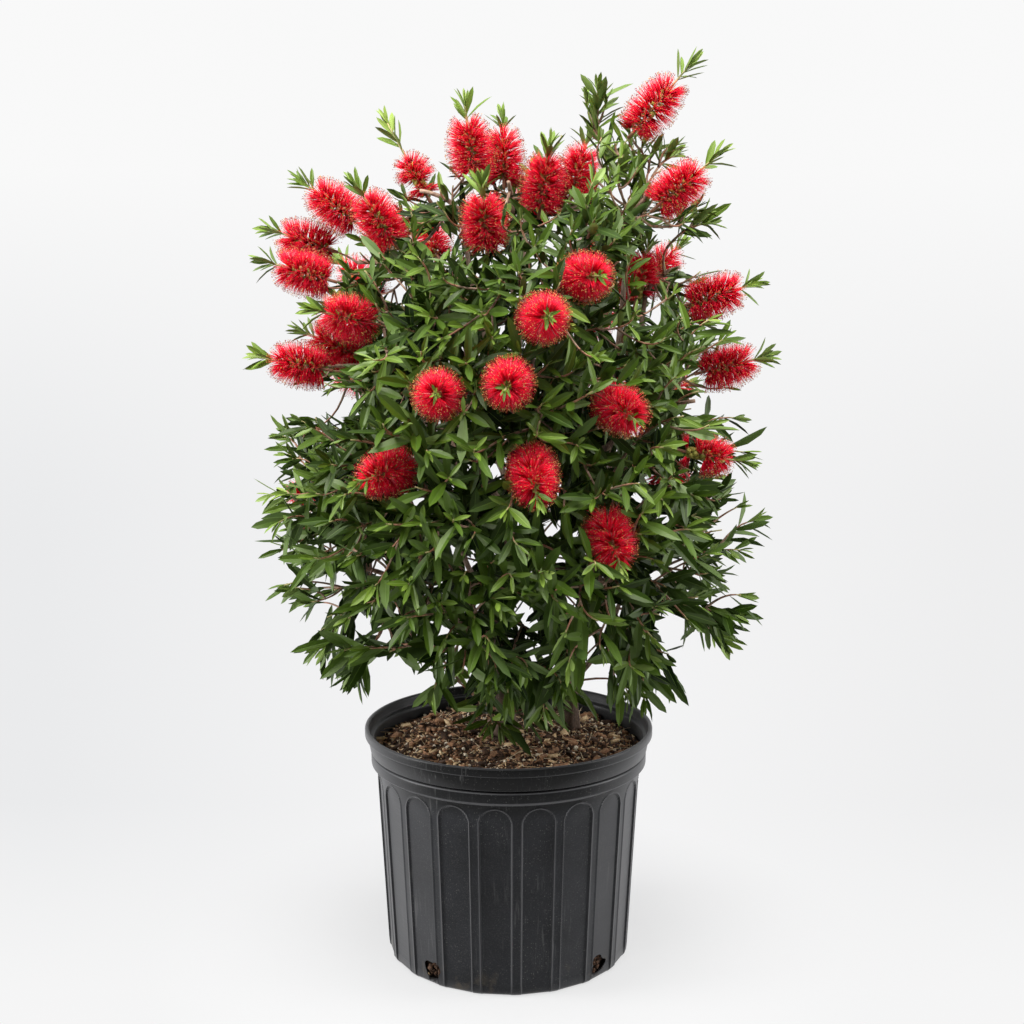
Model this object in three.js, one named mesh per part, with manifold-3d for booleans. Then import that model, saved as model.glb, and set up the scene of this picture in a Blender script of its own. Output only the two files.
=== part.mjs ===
// A crimson bottlebrush shrub growing in a black nursery pot.
//
// Two woody stems rise from the potting mix and carry boughs in rising order. Each bough ends where it
// enters its own mass of foliage. A mass is one solid: twigs that branch from one stem, large stand-in
// leaves set on them in a spiral, and flower brushes with a leafy tip beyond them.
//
// Millimetres, +Z up. The origin is the middle of the pot's flat underside. A place in the crown is
// given as a bearing, a height and a reach: bearing 0 faces -Y, 90 is +X, and reach is the distance
// from the pot's axis.

import * as THREE from 'three';
import { ConvexGeometry } from 'three/addons/geometries/ConvexGeometry.js';
import { mergeVertices } from 'three/addons/utils/BufferGeometryUtils.js';
import Module from 'manifold-3d';

const wasm = await Module();
wasm.setup();

// ---- Driving dimensions ----

// The pot, a moulded nursery container with a banded rim and arched flutes.
const POT_HEIGHT = 228;
const RIM_RADIUS = 140;
const RIM_DROP = 8;
const RIM_WIDTH = 4;
const BAND_RADIUS = 137;
const BAND_FOOT = 205;
const BAND_FOOT_RADIUS = 132;
const BEAD_RADIUS = 134;
const BEAD_HEIGHT = 10;
const BODY_TOP_RADIUS = 128;
const BODY_TOP_HEIGHT = 187;
const FOOT_RADIUS = 118;
const FOOT_CHAMFER = 3;
const POT_WALL = 3;
const NECK_RADIUS = 130;
const NECK_HEIGHT = 200;
const FLUTES = 20;
const FLUTE_DEPTH = 1.6;
const FLUTE_FOOT = 8;
const FLUTE_TOP = 170;
const SIDES_PER_FLUTE = 3;
const BODY_SIDES = FLUTES * SIDES_PER_FLUTE;
const DRAIN_HOLES = 4;
const DRAIN_HOLE_WIDTH = 16;
const DRAIN_HOLE_HEIGHT = 20;
const DRAIN_HOLE_MIDDLE = 14;
const DRAIN_HOLE_SIDES = 8;
const DRAIN_DRILL = 40;
const DRAIN_BEARING = 50;

// The potting mix, a little below the rim and level where the stems stand.
const GROUND = 212;
const SOIL_EDGE = 206;
const LEVEL_RADIUS = 92;
const SOIL_SIDES = 32;

// The gap kept between pieces that touch, and the distance within which points count as one.
const GAP = 0.3;
const WELD = 0.1;

// One corner of every limb's section faces this way, which is square to none of them.
const SECTION_FACING = new THREE.Vector3(0.31, 0.95, 0.06);

// The two stems: the places that each passes, its radius above the flare and at its tip, and the
// height of its first fork and the rise from one fork to the next.
const STEMS = {
  stem_main: {
    places: [[-2, 12, GROUND + GAP], [-8, 14, 330], [2, 6, 460], [8, 4, 615]],
    radius: 9,
    tipRadius: 3.2,
    firstFork: 236,
    forkRise: 25,
  },
  stem_right: {
    places: [[62, 34, GROUND + GAP], [66, 30, 300], [80, 16, 400], [94, 6, 530]],
    radius: 7,
    tipRadius: 2.8,
    firstFork: 262,
    forkRise: 37,
  },
};
const ROOT_FLARE = 1.6;
const STEM_SIDES = 8;
const STEM_STEPS = 10;
const SHARE_STEP = 0.002;

// Boughs taper towards the mass that they carry. Each goes part of the way out to its mass's middle,
// ends a drop below it, and bends where it has spread most of its way and risen little.
const BOUGH_RADIUS = 4.4;
const BOUGH_TIP_RADIUS = 3.2;
const BOUGH_SIDES = 5;
const BOUGH_STEPS = 3;
const BOUGH_LEAST_RISE = 6;
const BOUGH_SHARE = 0.55;
const BOUGH_DROP = 28;
const BOUGH_SPREAD = 0.7;
const BOUGH_RISE = 0.35;

// The masses in rising order: the stem of each, its middle as bearing, height and reach, the middles
// of its flower brushes, and the tips of leafy shoots that stand out of the crown. The sprig at the
// foot has no other shoots.
const MASSES = {
  foot_sprig: {
    stem: 'stem_main',
    middle: [-15, 250, 70],
    alone: true,
    flowers: [],
    shoots: [[-14, 248, 72], [16, 292, 84], [-48, 284, 78]],
  },
  low_front: { stem: 'stem_main', middle: [-15, 360, 135], flowers: [] },
  low_back: { stem: 'stem_main', middle: [180, 370, 140], flowers: [[172, 425, 205]] },
  low_left: { stem: 'stem_main', middle: [-90, 385, 155], flowers: [[-99, 454, 203]] },
  mid_front_left: { stem: 'stem_main', middle: [-35, 470, 150], flowers: [[-33, 503, 194]] },
  mid_back_left: {
    stem: 'stem_main',
    middle: [-145, 510, 160],
    flowers: [[-130, 560, 204], [-152, 488, 206], [-170, 550, 196]],
  },
  mid_front: {
    stem: 'stem_main',
    middle: [10, 550, 165],
    flowers: [[-17, 573, 198], [0, 582, 200], [31, 556, 188], [6, 505, 204]],
  },
  mid_left: { stem: 'stem_main', middle: [-95, 575, 165], flowers: [[-90, 583, 199], [-103, 599, 173]] },
  upper_front_left: { stem: 'stem_main', middle: [-55, 615, 135], flowers: [[-58, 631, 168]] },
  upper_back_left: {
    stem: 'stem_main',
    middle: [-145, 640, 150],
    flowers: [[-128, 660, 190], [-150, 700, 160], [-166, 632, 192]],
  },
  upper_front: { stem: 'stem_main', middle: [15, 645, 160], flowers: [[9, 636, 192], [24, 668, 164]] },
  upper_left: {
    stem: 'stem_main',
    middle: [-100, 672, 145],
    flowers: [[-97, 731, 166], [-102, 697, 199], [-87, 669, 192]],
  },
  top_left: {
    stem: 'stem_main',
    middle: [-88, 738, 82],
    flowers: [[-109, 759, 93], [-71, 718, 125]],
    shoots: [[-96, 800, 112]],
  },
  top_back: {
    stem: 'stem_main',
    middle: [165, 745, 90],
    flowers: [[-175, 779, 60], [136, 764, 97], [170, 738, 135]],
  },
  top_middle: {
    stem: 'stem_main',
    middle: [0, 745, 35],
    flowers: [[-60, 784, 40], [73, 751, 34], [-13, 716, 92]],
  },
  low_right: { stem: 'stem_right', middle: [95, 380, 150], flowers: [] },
  low_front_right: { stem: 'stem_right', middle: [35, 395, 150], flowers: [[27, 446, 194]] },
  mid_front_right: { stem: 'stem_right', middle: [50, 485, 130], flowers: [] },
  mid_back_right: {
    stem: 'stem_right',
    middle: [140, 500, 160],
    flowers: [[128, 548, 206], [155, 505, 202], [122, 455, 200]],
  },
  mid_right: { stem: 'stem_right', middle: [85, 545, 175], flowers: [[93, 581, 210], [81, 500, 190]] },
  upper_back_right: {
    stem: 'stem_right',
    middle: [140, 640, 150],
    flowers: [[126, 672, 186], [150, 688, 172], [152, 618, 196]],
  },
  upper_right: { stem: 'stem_right', middle: [100, 668, 165], flowers: [[90, 647, 194], [99, 666, 127]] },
  top_right: {
    stem: 'stem_right',
    middle: [85, 730, 125],
    flowers: [[90, 820, 135], [83, 746, 158]],
    shoots: [[96, 806, 82], [92, 706, 190]],
  },
};

// Flower brushes point away from the heart of the crown. Beyond each the shoot goes on and swells
// into a leafy tip.
const HEART = new THREE.Vector3(0, 0, 530);
const BRUSH_LENGTH = 52;
const BRUSH_RADIUS = 23;
const BRUSH_SIDES = 7;
const BRUSH_OUTLINE = [[0, -0.46], [0.6, -0.46], [1, -0.04], [0.66, 0.46], [0, 0.46]];
const BRUSH_SPOTS = [0.3, 0.7];
const LEAFY_TIP_START = 4;
const LEAFY_TIP_SWELL = 12;
const LEAFY_TIP_LENGTH = 24;
const LEAFY_TIP_RADIUS = 5;

// The crown's half-width at each height, out to the tips of its leafy shoots, and how far its top
// leans to +X above its waist.
const CROWN_OUTLINE = [
  [285, 150], [330, 192], [380, 212], [450, 218], [520, 208],
  [600, 190], [680, 165], [740, 128], [780, 74], [800, 20],
];
const CROWN_LEAN = 34;
const CROWN_WAIST = 500;

// Leafy shoots end on a spiral over the crown, and every third one inside it.
const SHOOT_COUNT = 186;
const GOLDEN_ANGLE = 137.508;
const SHOOT_STRAY = 14;
const INNER_SHOOT = 3;
const INNER_SHARE = 0.6;
const OUTER_SHARE = 0.9;
const SHOOT_FLATNESS = 0.7;
const SHOOT_LIFT = 0.1;
const TIP_SPACING = 38;

// Twigs are three-sided and taper to their tips. The root of each is thin enough to lie hidden in
// the twig that it forks from. A twig forks where it stays short: a longer run from the bough and a
// sharper turn count against a fork as extra distance does.
const TWIG_ROOT_RADIUS = 0.9;
const TWIG_RADIUS = 2.2;
const TWIG_TIP_RADIUS = 1.7;
const TWIG_SIDES = 3;
const TWIG_STEPS = 2;
const TWIG_BEND = 0.45;
const TWIG_ROOM = 3;
const TWIG_SPOTS = 8;
const STEM_FORKS = [0.35, 0.68, 1];
const TWIG_FORKS = [0.45, 0.75];
const RUN_COST = 0.35;
const TURN_COST = 45;

// Leaves are larger than life, each standing for several. They are smallest and most upright at the
// tip of a shoot. Where there is no room for a whole leaf, smaller ones are tried.
const LEAF_LENGTH = 84;
const LEAF_WIDTH = 27;
const LEAF_FOLD = 4;
const LEAF_SINK = 0.5;
const LEAF_BELLY = 0.4;
const LEAF_SIZES = [1, 0.8, 0.62];
const TIP_LEAF_SIZE = 0.45;
const LEAF_GROWTH = 0.18;
const LEAF_LEAN = 44;
const LEAF_LEAN_SPREAD = 10;
const TIP_LEAF_LEAN = 18;
const LEAF_SAG = 0.12;
const FIRST_LEAF = 4;
const LEAF_SPACING = 13;
const LEAVES_PER_SHOOT = 8;
const LEAFY_SHARE = 0.92;
const LEAF_ROOM = 0.4;
const LEAF_SPOTS = [0.25, 0.5, 0.8];

// Chance draws on a sine wave so high that its digits are scattered.
const ITEM_PHASE = 127.1;
const TRAIT_PHASE = 311.7;
const WAVE_HEIGHT = 43758.5453;

// ---- Materials ----

const potPlastic = new THREE.MeshStandardMaterial({ color: 0x1d1e1f, roughness: 0.55, metalness: 0 });
const pottingMix = new THREE.MeshStandardMaterial({ color: 0x4a3020, roughness: 0.95, metalness: 0 });
const bark = new THREE.MeshStandardMaterial({ color: 0x6d5644, roughness: 0.85, metalness: 0 });
const foliage = new THREE.MeshStandardMaterial({ color: 0x35561f, roughness: 0.45, metalness: 0 });

// ---- Solids ----

// A closed geometry as a solid that can be joined and cut.
function toSolid(geometry) {
  const bare = geometry.clone();
  bare.deleteAttribute('normal');
  bare.deleteAttribute('uv');
  const merged = mergeVertices(bare);
  return new wasm.Manifold(new wasm.Mesh({
    numProp: 3,
    vertProperties: merged.attributes.position.array,
    triVerts: Uint32Array.from(merged.index.array),
  }));
}

// The largest body of a solid as a geometry, so that loose scraps and sealed hollows are dropped,
// and with its flat faces cleaned of points closer than the weld.
function toGeometry(solid) {
  const bodies = solid.decompose();
  const largest = bodies.reduce((best, body) => (body.volume() > best.volume() ? body : best));
  const mesh = largest.asOriginal().simplify(WELD).getMesh();
  const geometry = new THREE.BufferGeometry();
  geometry.setAttribute('position', new THREE.BufferAttribute(mesh.vertProperties, 3));
  geometry.setIndex(new THREE.BufferAttribute(mesh.triVerts, 1));
  return geometry;
}

function namedMesh(name, geometry, material) {
  const mesh = new THREE.Mesh(geometry, material);
  mesh.name = name;
  return mesh;
}

// The headings of a line of places, each along its neighbours.
function headingsOf(places) {
  return places.map((place, i) => {
    const next = places[Math.min(i + 1, places.length - 1)];
    return next.clone().sub(places[Math.max(i - 1, 0)]).normalize();
  });
}

// A limb of flat sides through a line of places, with a radius at each. Its ends are flat, and its
// sides don't twist.
function limbGeometry(places, radii, sides) {
  const steps = places.length - 1;
  const geometry = new THREE.CylinderGeometry(1, 1, 1, sides, steps);
  const headings = headingsOf(places);
  const across = SECTION_FACING.clone();
  const frames = headings.map((heading) => {
    across.addScaledVector(heading, -across.dot(heading)).normalize();
    return new THREE.Matrix4().makeBasis(across, heading, across.clone().cross(heading));
  });
  const position = geometry.attributes.position;
  for (let i = 0; i < position.count; i += 1) {
    const step = Math.round((position.getY(i) + 0.5) * steps);
    const corner = new THREE.Vector3(position.getX(i), 0, position.getZ(i));
    corner.multiplyScalar(radii[step]).applyMatrix4(frames[step]).add(places[step]);
    position.setXYZ(i, corner.x, corner.y, corner.z);
  }
  return geometry;
}

// Radii that fall evenly from one end of a limb to the other.
function taper(from, to, steps) {
  return Array.from({ length: steps + 1 }, (_, step) => THREE.MathUtils.lerp(from, to, step / steps));
}

// ---- Places in the crown ----

function placeAt([bearing, height, reach]) {
  const turn = THREE.MathUtils.degToRad(bearing);
  return new THREE.Vector3(reach * Math.sin(turn), -reach * Math.cos(turn), height);
}

// A number from 0 to 1 that is always the same for an item and one of its traits.
function chance(item, trait) {
  const wave = Math.sin(item * ITEM_PHASE + trait * TRAIT_PHASE) * WAVE_HEIGHT;
  return wave - Math.floor(wave);
}

function awayFromHeart(place) {
  return place.clone().sub(HEART).normalize();
}

function crownRadius(height) {
  const above = CROWN_OUTLINE.findIndex(([level]) => level > height);
  const [lowLevel, lowRadius] = CROWN_OUTLINE[above - 1];
  const [highLevel, highRadius] = CROWN_OUTLINE[above];
  return THREE.MathUtils.mapLinear(height, lowLevel, highLevel, lowRadius, highRadius);
}

const middles = Object.fromEntries(
  Object.entries(MASSES).map(([name, mass]) => [name, placeAt(mass.middle)]),
);

// How far a place lies inside a mass's own space, which is all that is nearer to its middle than to
// any other mass's middle.
function roomInside(name, place) {
  let room = Infinity;
  for (const [other, middle] of Object.entries(middles)) {
    if (other !== name) {
      const apart = middle.distanceTo(middles[name]);
      const lead = place.distanceToSquared(middle) - place.distanceToSquared(middles[name]);
      room = Math.min(room, lead / (2 * apart));
    }
  }
  return room;
}

function ownerOf(place) {
  return Object.keys(middles).find((name) => roomInside(name, place) >= 0);
}

// ---- Pot and potting mix ----

function bodyRadius(height) {
  return THREE.MathUtils.mapLinear(height, 0, BODY_TOP_HEIGHT, FOOT_RADIUS, BODY_TOP_RADIUS);
}

function innerRadius(height) {
  return bodyRadius(height) - POT_WALL;
}

// The flutes are sunk between narrow ridges, from just above the foot to their arches.
function sinkFlutes(geometry) {
  const position = geometry.attributes.position;
  for (let i = 0; i < position.count; i += 1) {
    const x = position.getX(i);
    const y = position.getY(i);
    const radius = Math.hypot(x, y);
    const height = position.getZ(i);
    const side = Math.round((Math.atan2(y, x) / (2 * Math.PI)) * BODY_SIDES);
    const onPanel = ((side % SIDES_PER_FLUTE) + SIDES_PER_FLUTE) % SIDES_PER_FLUTE !== 0;
    const onBody = height >= FLUTE_FOOT && height <= FLUTE_TOP && radius > innerRadius(height) + GAP;
    if (onPanel && onBody) {
      const sunk = (radius - FLUTE_DEPTH) / radius;
      position.setXY(i, x * sunk, y * sunk);
    }
  }
}

function drainHole(index) {
  const drill = new THREE.CylinderGeometry(0.5, 0.5, DRAIN_DRILL, DRAIN_HOLE_SIDES);
  drill.scale(DRAIN_HOLE_WIDTH, 1, DRAIN_HOLE_HEIGHT);
  drill.translate(0, -FOOT_RADIUS, DRAIN_HOLE_MIDDLE);
  drill.rotateZ(THREE.MathUtils.degToRad(DRAIN_BEARING + (index * 360) / DRAIN_HOLES));
  return toSolid(drill);
}

// The pot's section, up the outside past its bead and band to the rim, and down the inside.
function potGeometry() {
  const profile = [
    [0, 0],
    [FOOT_RADIUS - FOOT_CHAMFER, 0],
    [bodyRadius(FLUTE_FOOT), FLUTE_FOOT],
    [bodyRadius(FLUTE_TOP), FLUTE_TOP],
    [BODY_TOP_RADIUS, BODY_TOP_HEIGHT],
    [BEAD_RADIUS, BAND_FOOT - BEAD_HEIGHT - 2],
    [BEAD_RADIUS, BAND_FOOT - 2],
    [BAND_FOOT_RADIUS, BAND_FOOT],
    [BAND_RADIUS, POT_HEIGHT - RIM_DROP - 1],
    [RIM_RADIUS, POT_HEIGHT - RIM_DROP],
    [RIM_RADIUS, POT_HEIGHT],
    [RIM_RADIUS - RIM_WIDTH, POT_HEIGHT],
    [NECK_RADIUS, NECK_HEIGHT],
    [innerRadius(BODY_TOP_HEIGHT), BODY_TOP_HEIGHT],
    [innerRadius(POT_WALL), POT_WALL],
    [0, POT_WALL],
  ].map(([radius, height]) => new THREE.Vector2(radius, height));
  const turned = new THREE.LatheGeometry(profile, BODY_SIDES);
  turned.rotateX(Math.PI / 2);
  sinkFlutes(turned);
  let pot = toSolid(turned);
  for (let index = 0; index < DRAIN_HOLES; index += 1) {
    pot = pot.subtract(drainHole(index));
  }
  return toGeometry(pot);
}

// The mix fills the pot; its sides stay clear of the flats of the many-sided wall.
function soilGeometry() {
  const flat = Math.cos(Math.PI / BODY_SIDES);
  const profile = [
    [0, POT_WALL + GAP],
    [innerRadius(POT_WALL) * flat - GAP, POT_WALL + GAP],
    [innerRadius(BODY_TOP_HEIGHT) * flat - GAP, BODY_TOP_HEIGHT],
    [NECK_RADIUS * flat - GAP, SOIL_EDGE],
    [LEVEL_RADIUS, GROUND],
    [0, GROUND],
  ].map(([radius, height]) => new THREE.Vector2(radius, height));
  const geometry = new THREE.LatheGeometry(profile, SOIL_SIDES);
  geometry.rotateX(Math.PI / 2);
  return toGeometry(toSolid(geometry));
}

// ---- Stems and boughs ----

const limbPieces = [];

// Notes where a limb runs, so that foliage can keep off it.
function noteLimb(places, radii) {
  for (let step = 0; step < places.length - 1; step += 1) {
    limbPieces.push({ line: new THREE.Line3(places[step], places[step + 1]), radius: radii[step] });
  }
}

function clearOfLimbs(place, spare) {
  const nearest = new THREE.Vector3();
  return limbPieces.every(({ line, radius }) => {
    line.closestPointToPoint(place, true, nearest);
    return nearest.distanceTo(place) > radius + spare;
  });
}

function stemCurve(stem) {
  return new THREE.CatmullRomCurve3(stem.places.map((place) => new THREE.Vector3(...place)));
}

// A stem flares at its foot, where it is cut flat on the ground.
function stemRadii(stem) {
  const radii = taper(stem.radius, stem.tipRadius, STEM_STEPS);
  radii[0] *= ROOT_FLARE;
  return radii;
}

// The places along a stem; its foot stands level, so that its cut end lies flat.
function stemPlaces(stem) {
  return stemCurve(stem).getSpacedPoints(STEM_STEPS);
}

// A stem, or with a margin the shape that a bough is cut back to.
function stemGeometry(stem, margin) {
  const radii = stemRadii(stem).map((radius) => radius + margin);
  const geometry = limbGeometry(stemPlaces(stem), radii, STEM_SIDES);
  const position = geometry.attributes.position;
  const [, , foot] = stem.places[0];
  for (let i = 0; i < position.count; i += 1) {
    if (Math.abs(position.getZ(i) - foot) < stem.radius) {
      position.setZ(i, foot);
    }
  }
  return geometry;
}

function shareAtHeight(curve, height) {
  let share = 0;
  while (share < 1 && curve.getPointAt(share).z < height) {
    share += SHARE_STEP;
  }
  return Math.min(share, 1);
}

// A bough leaves its stem at its fork and ends, still rising, where its mass begins.
function boughPlaces(name) {
  const mass = MASSES[name];
  const stem = STEMS[mass.stem];
  const order = Object.keys(MASSES).filter((other) => MASSES[other].stem === mass.stem).indexOf(name);
  const trunk = stemCurve(stem);
  const start = trunk.getPointAt(shareAtHeight(trunk, stem.firstFork + order * stem.forkRise));
  const tip = start.clone().lerp(middles[name], BOUGH_SHARE);
  tip.z = Math.max(start.z + BOUGH_LEAST_RISE, middles[name].z - BOUGH_DROP);
  const bend = start.clone().lerp(tip, BOUGH_SPREAD);
  bend.z = THREE.MathUtils.lerp(start.z, tip.z, BOUGH_RISE);
  return new THREE.QuadraticBezierCurve3(start, bend, tip).getSpacedPoints(BOUGH_STEPS);
}

const BOUGH_RADII = taper(BOUGH_RADIUS, BOUGH_TIP_RADIUS, BOUGH_STEPS);

// A bough is cut back from its stem, so that it meets it along a saddle.
function boughGeometry(name) {
  const trunk = toSolid(stemGeometry(STEMS[MASSES[name].stem], GAP));
  const bough = limbGeometry(boughPlaces(name), BOUGH_RADII, BOUGH_SIDES);
  return toGeometry(toSolid(bough).subtract(trunk));
}

// ---- Foliage ----

// The corners of a leaf: its root, sunk in the twig, its edges where it is widest, and its tip. The
// keel between root and tip gives the leaf its fold and its thickness.
function leafCorners(root, heading, facing, size) {
  const side = new THREE.Vector3().crossVectors(facing, heading).normalize();
  const rise = new THREE.Vector3().crossVectors(heading, side).multiplyScalar(LEAF_FOLD * size);
  const belly = root.clone().addScaledVector(heading, LEAF_LENGTH * LEAF_BELLY * size).add(rise);
  return [
    root.clone().addScaledVector(heading, -LEAF_SINK),
    belly.clone().addScaledVector(side, (LEAF_WIDTH * size) / 2),
    belly.clone().addScaledVector(side, (-LEAF_WIDTH * size) / 2),
    root.clone().addScaledVector(heading, LEAF_LENGTH * size),
  ];
}

// A leaf fits where it stays in its mass's space, over the ground, and off limbs and what is there
// but the twig that it grows on.
function leafFits(name, corners, spots, twig, taken) {
  const inside = corners.every((corner) => (
    roomInside(name, corner) > LEAF_ROOM && corner.z > GROUND + LEAF_ROOM
  ));
  const apart = (spot, other) => other.place.distanceTo(spot.place) > other.radius + spot.radius;
  return inside && spots.every((spot) => (
    clearOfLimbs(spot.place, 2 * spot.radius)
    && taken.every((other) => other.twig === twig || apart(spot, other))
  ));
}

// Round spots along a line, which stand for the room that a leaf, twig or brush takes.
function spotsAlong(start, end, shares, radius) {
  return shares.map((share) => ({ place: start.clone().lerp(end, share), radius }));
}

// The heading of a leaf: it leans out from its twig and sags a little under its own weight.
function leafHeading(along, turn, lean) {
  const side = new THREE.Vector3().crossVectors(along, SECTION_FACING).normalize();
  side.applyAxisAngle(along, THREE.MathUtils.degToRad(turn));
  const heading = along.clone().multiplyScalar(Math.cos(THREE.MathUtils.degToRad(lean)));
  heading.addScaledVector(side, Math.sin(THREE.MathUtils.degToRad(lean)));
  heading.z -= LEAF_SAG;
  return heading.normalize();
}

// The leaf at one place in a shoot's spiral, in each size that it may have.
function leafChoices({ curve, tip }, order, share) {
  const root = curve.getPointAt(share);
  const along = curve.getTangentAt(share);
  const turn = order * GOLDEN_ANGLE + chance(tip.item, 3) * 360;
  const lean = order === 0 ? TIP_LEAF_LEAN : LEAF_LEAN + LEAF_LEAN_SPREAD * chance(tip.item, 4 + order);
  const heading = leafHeading(along, turn, lean);
  const grown = Math.min(1, TIP_LEAF_SIZE + LEAF_GROWTH * order);
  return LEAF_SIZES.map((size) => {
    const corners = leafCorners(root, heading, along, size * grown);
    return { corners, spots: spotsAlong(root, corners[3], LEAF_SPOTS, LEAF_WIDTH / 4) };
  });
}

// Leaves in a spiral down the last stretch of a shoot. The room that they use is added to what is
// taken.
function leavesOn(name, twig, taken) {
  const run = twig.curve.getLength();
  const leaves = [];
  for (let order = twig.tip.flowering ? 1 : 0; order < LEAVES_PER_SHOOT; order += 1) {
    const back = (FIRST_LEAF + order * LEAF_SPACING) / run;
    if (back < LEAFY_SHARE) {
      const choices = leafChoices(twig, order, 1 - back);
      const leaf = choices.find(({ corners, spots }) => leafFits(name, corners, spots, twig, taken));
      if (leaf) {
        leaves.push(new ConvexGeometry(leaf.corners));
        taken.push(...leaf.spots);
      }
    }
  }
  return leaves;
}

// A flower brush: a barrel of stamens round the shoot, widest a little below its middle.
function brushGeometry(middle, heading) {
  const outline = BRUSH_OUTLINE.map(([radius, rise]) => (
    new THREE.Vector2(radius * BRUSH_RADIUS, rise * BRUSH_LENGTH)
  ));
  const brush = new THREE.LatheGeometry(outline, BRUSH_SIDES);
  const upright = new THREE.Vector3(0, 1, 0);
  brush.applyQuaternion(new THREE.Quaternion().setFromUnitVectors(upright, heading));
  brush.translate(middle.x, middle.y, middle.z);
  return brush;
}

// The tip of a leafy shoot, which points outwards and a little up.
function leafyTip(item, place) {
  const heading = awayFromHeart(place);
  heading.z = heading.z * SHOOT_FLATNESS + SHOOT_LIFT;
  return { item, place, heading: heading.normalize(), flowering: false };
}

// The tips that a mass grows towards: its flowers first, then the shoots that stand out, then the
// leafy shoots of the crown that end in its space and clear of the tips before them.
function tipsOf(name) {
  const { flowers, shoots = [], alone } = MASSES[name];
  const tips = flowers.map((row) => {
    const middle = placeAt(row);
    const heading = awayFromHeart(middle);
    const place = middle.clone().addScaledVector(heading, -BRUSH_LENGTH / 2);
    return { item: row[0] + row[1], heading, middle, place, flowering: true };
  });
  tips.push(...shoots.map((row) => leafyTip(row[0] + row[1], placeAt(row))));
  for (const shoot of crownShoots()) {
    const apart = tips.every((tip) => (tip.middle ?? tip.place).distanceTo(shoot.place) > TIP_SPACING);
    if (!alone && ownerOf(shoot.place) === name && apart) {
      tips.push(shoot);
    }
  }
  return tips;
}

// Leafy shoots over the whole crown, spread evenly by a spiral and thinned where it is narrow.
function crownShoots() {
  const [lowest] = CROWN_OUTLINE[0];
  const [highest] = CROWN_OUTLINE[CROWN_OUTLINE.length - 1];
  const widest = Math.max(...CROWN_OUTLINE.map(([, radius]) => radius));
  const shoots = [];
  for (let item = 0; item < SHOOT_COUNT; item += 1) {
    const height = THREE.MathUtils.lerp(lowest, highest, (item + 0.5) / SHOOT_COUNT);
    const radius = crownRadius(height);
    if (chance(item, 5) * widest < radius) {
      const depth = THREE.MathUtils.lerp(OUTER_SHARE, 1, chance(item, 2));
      const reach = radius * (item % INNER_SHOOT === 0 ? INNER_SHARE : depth);
      const place = placeAt([item * GOLDEN_ANGLE + SHOOT_STRAY * chance(item, 1), height, reach]);
      const lean = Math.max(0, (height - CROWN_WAIST) / (highest - CROWN_WAIST));
      place.x += CROWN_LEAN * lean * lean;
      shoots.push(leafyTip(item, place));
    }
  }
  return shoots;
}

function twigFits(name, curve) {
  return curve.getSpacedPoints(TWIG_SPOTS).slice(1).every((place) => (
    roomInside(name, place) > TWIG_ROOM && clearOfLimbs(place, TWIG_ROOM)
  ));
}

// Where on the wood grown so far a new tip is reached best: near, on a short run and straight ahead.
function bestFork(forks, tip) {
  const cost = (fork) => {
    const way = tip.place.clone().sub(fork.place);
    const ahead = way.clone().normalize().dot(fork.heading);
    return way.length() + RUN_COST * fork.run + TURN_COST * (1 - ahead);
  };
  return forks.reduce((best, fork) => (cost(fork) < cost(best) ? fork : best));
}

function forksAlong(curve, run, shares) {
  return shares.map((share) => ({
    place: curve.getPointAt(share),
    heading: curve.getTangentAt(share),
    run: run + curve.getLength() * share,
  }));
}

// A path in straight steps from place to place.
function steppedPath(places) {
  const path = new THREE.CurvePath();
  for (let step = 0; step < places.length - 1; step += 1) {
    path.add(new THREE.LineCurve3(places[step], places[step + 1]));
  }
  return path;
}

function twigPath(fork, tip) {
  const bend = tip.place.clone().addScaledVector(tip.heading, -fork.distanceTo(tip.place) * TWIG_BEND);
  return steppedPath(new THREE.QuadraticBezierCurve3(fork, bend, tip.place).getSpacedPoints(TWIG_STEPS));
}

// The twigs of a mass: its stem goes on from the bough's tip to its middle, and each tip in turn,
// nearest first, gets a twig from the best fork. A twig that leaves the mass's space is left out.
function growTwigs(name) {
  const [before, end] = boughPlaces(name).slice(-2);
  const heading = end.clone().sub(before).normalize();
  const base = end.clone().addScaledVector(heading, GAP);
  const reach = middles[name].distanceTo(base);
  const knee = base.clone().addScaledVector(heading, reach * TWIG_BEND);
  const stem = steppedPath([base, knee, middles[name]]);
  const twigs = [{ curve: stem, tip: null }];
  const forks = forksAlong(stem, 0, STEM_FORKS);
  const tips = tipsOf(name).sort((a, b) => a.place.distanceTo(base) - b.place.distanceTo(base));
  for (const tip of tips) {
    const fork = bestFork(forks, tip);
    const curve = twigPath(fork.place, tip);
    if (twigFits(name, curve)) {
      twigs.push({ curve, tip });
      forks.push(...forksAlong(curve, fork.run, TWIG_FORKS));
    }
  }
  return twigs;
}

// The room that the twigs and brushes of a mass take. A shoot's own leaves stay off all of it but
// the twig that they grow on.
function takenBy(twigs) {
  const taken = [];
  for (const twig of twigs) {
    const { curve, tip } = twig;
    const line = curve.getSpacedPoints(TWIG_SPOTS).slice(1);
    taken.push(...line.map((place) => ({ place, radius: TWIG_RADIUS, twig })));
    if (tip?.flowering) {
      const foot = tip.place;
      const top = foot.clone().addScaledVector(tip.heading, BRUSH_LENGTH);
      taken.push(...spotsAlong(foot, top, BRUSH_SPOTS, BRUSH_RADIUS));
    }
  }
  return taken;
}

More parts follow.
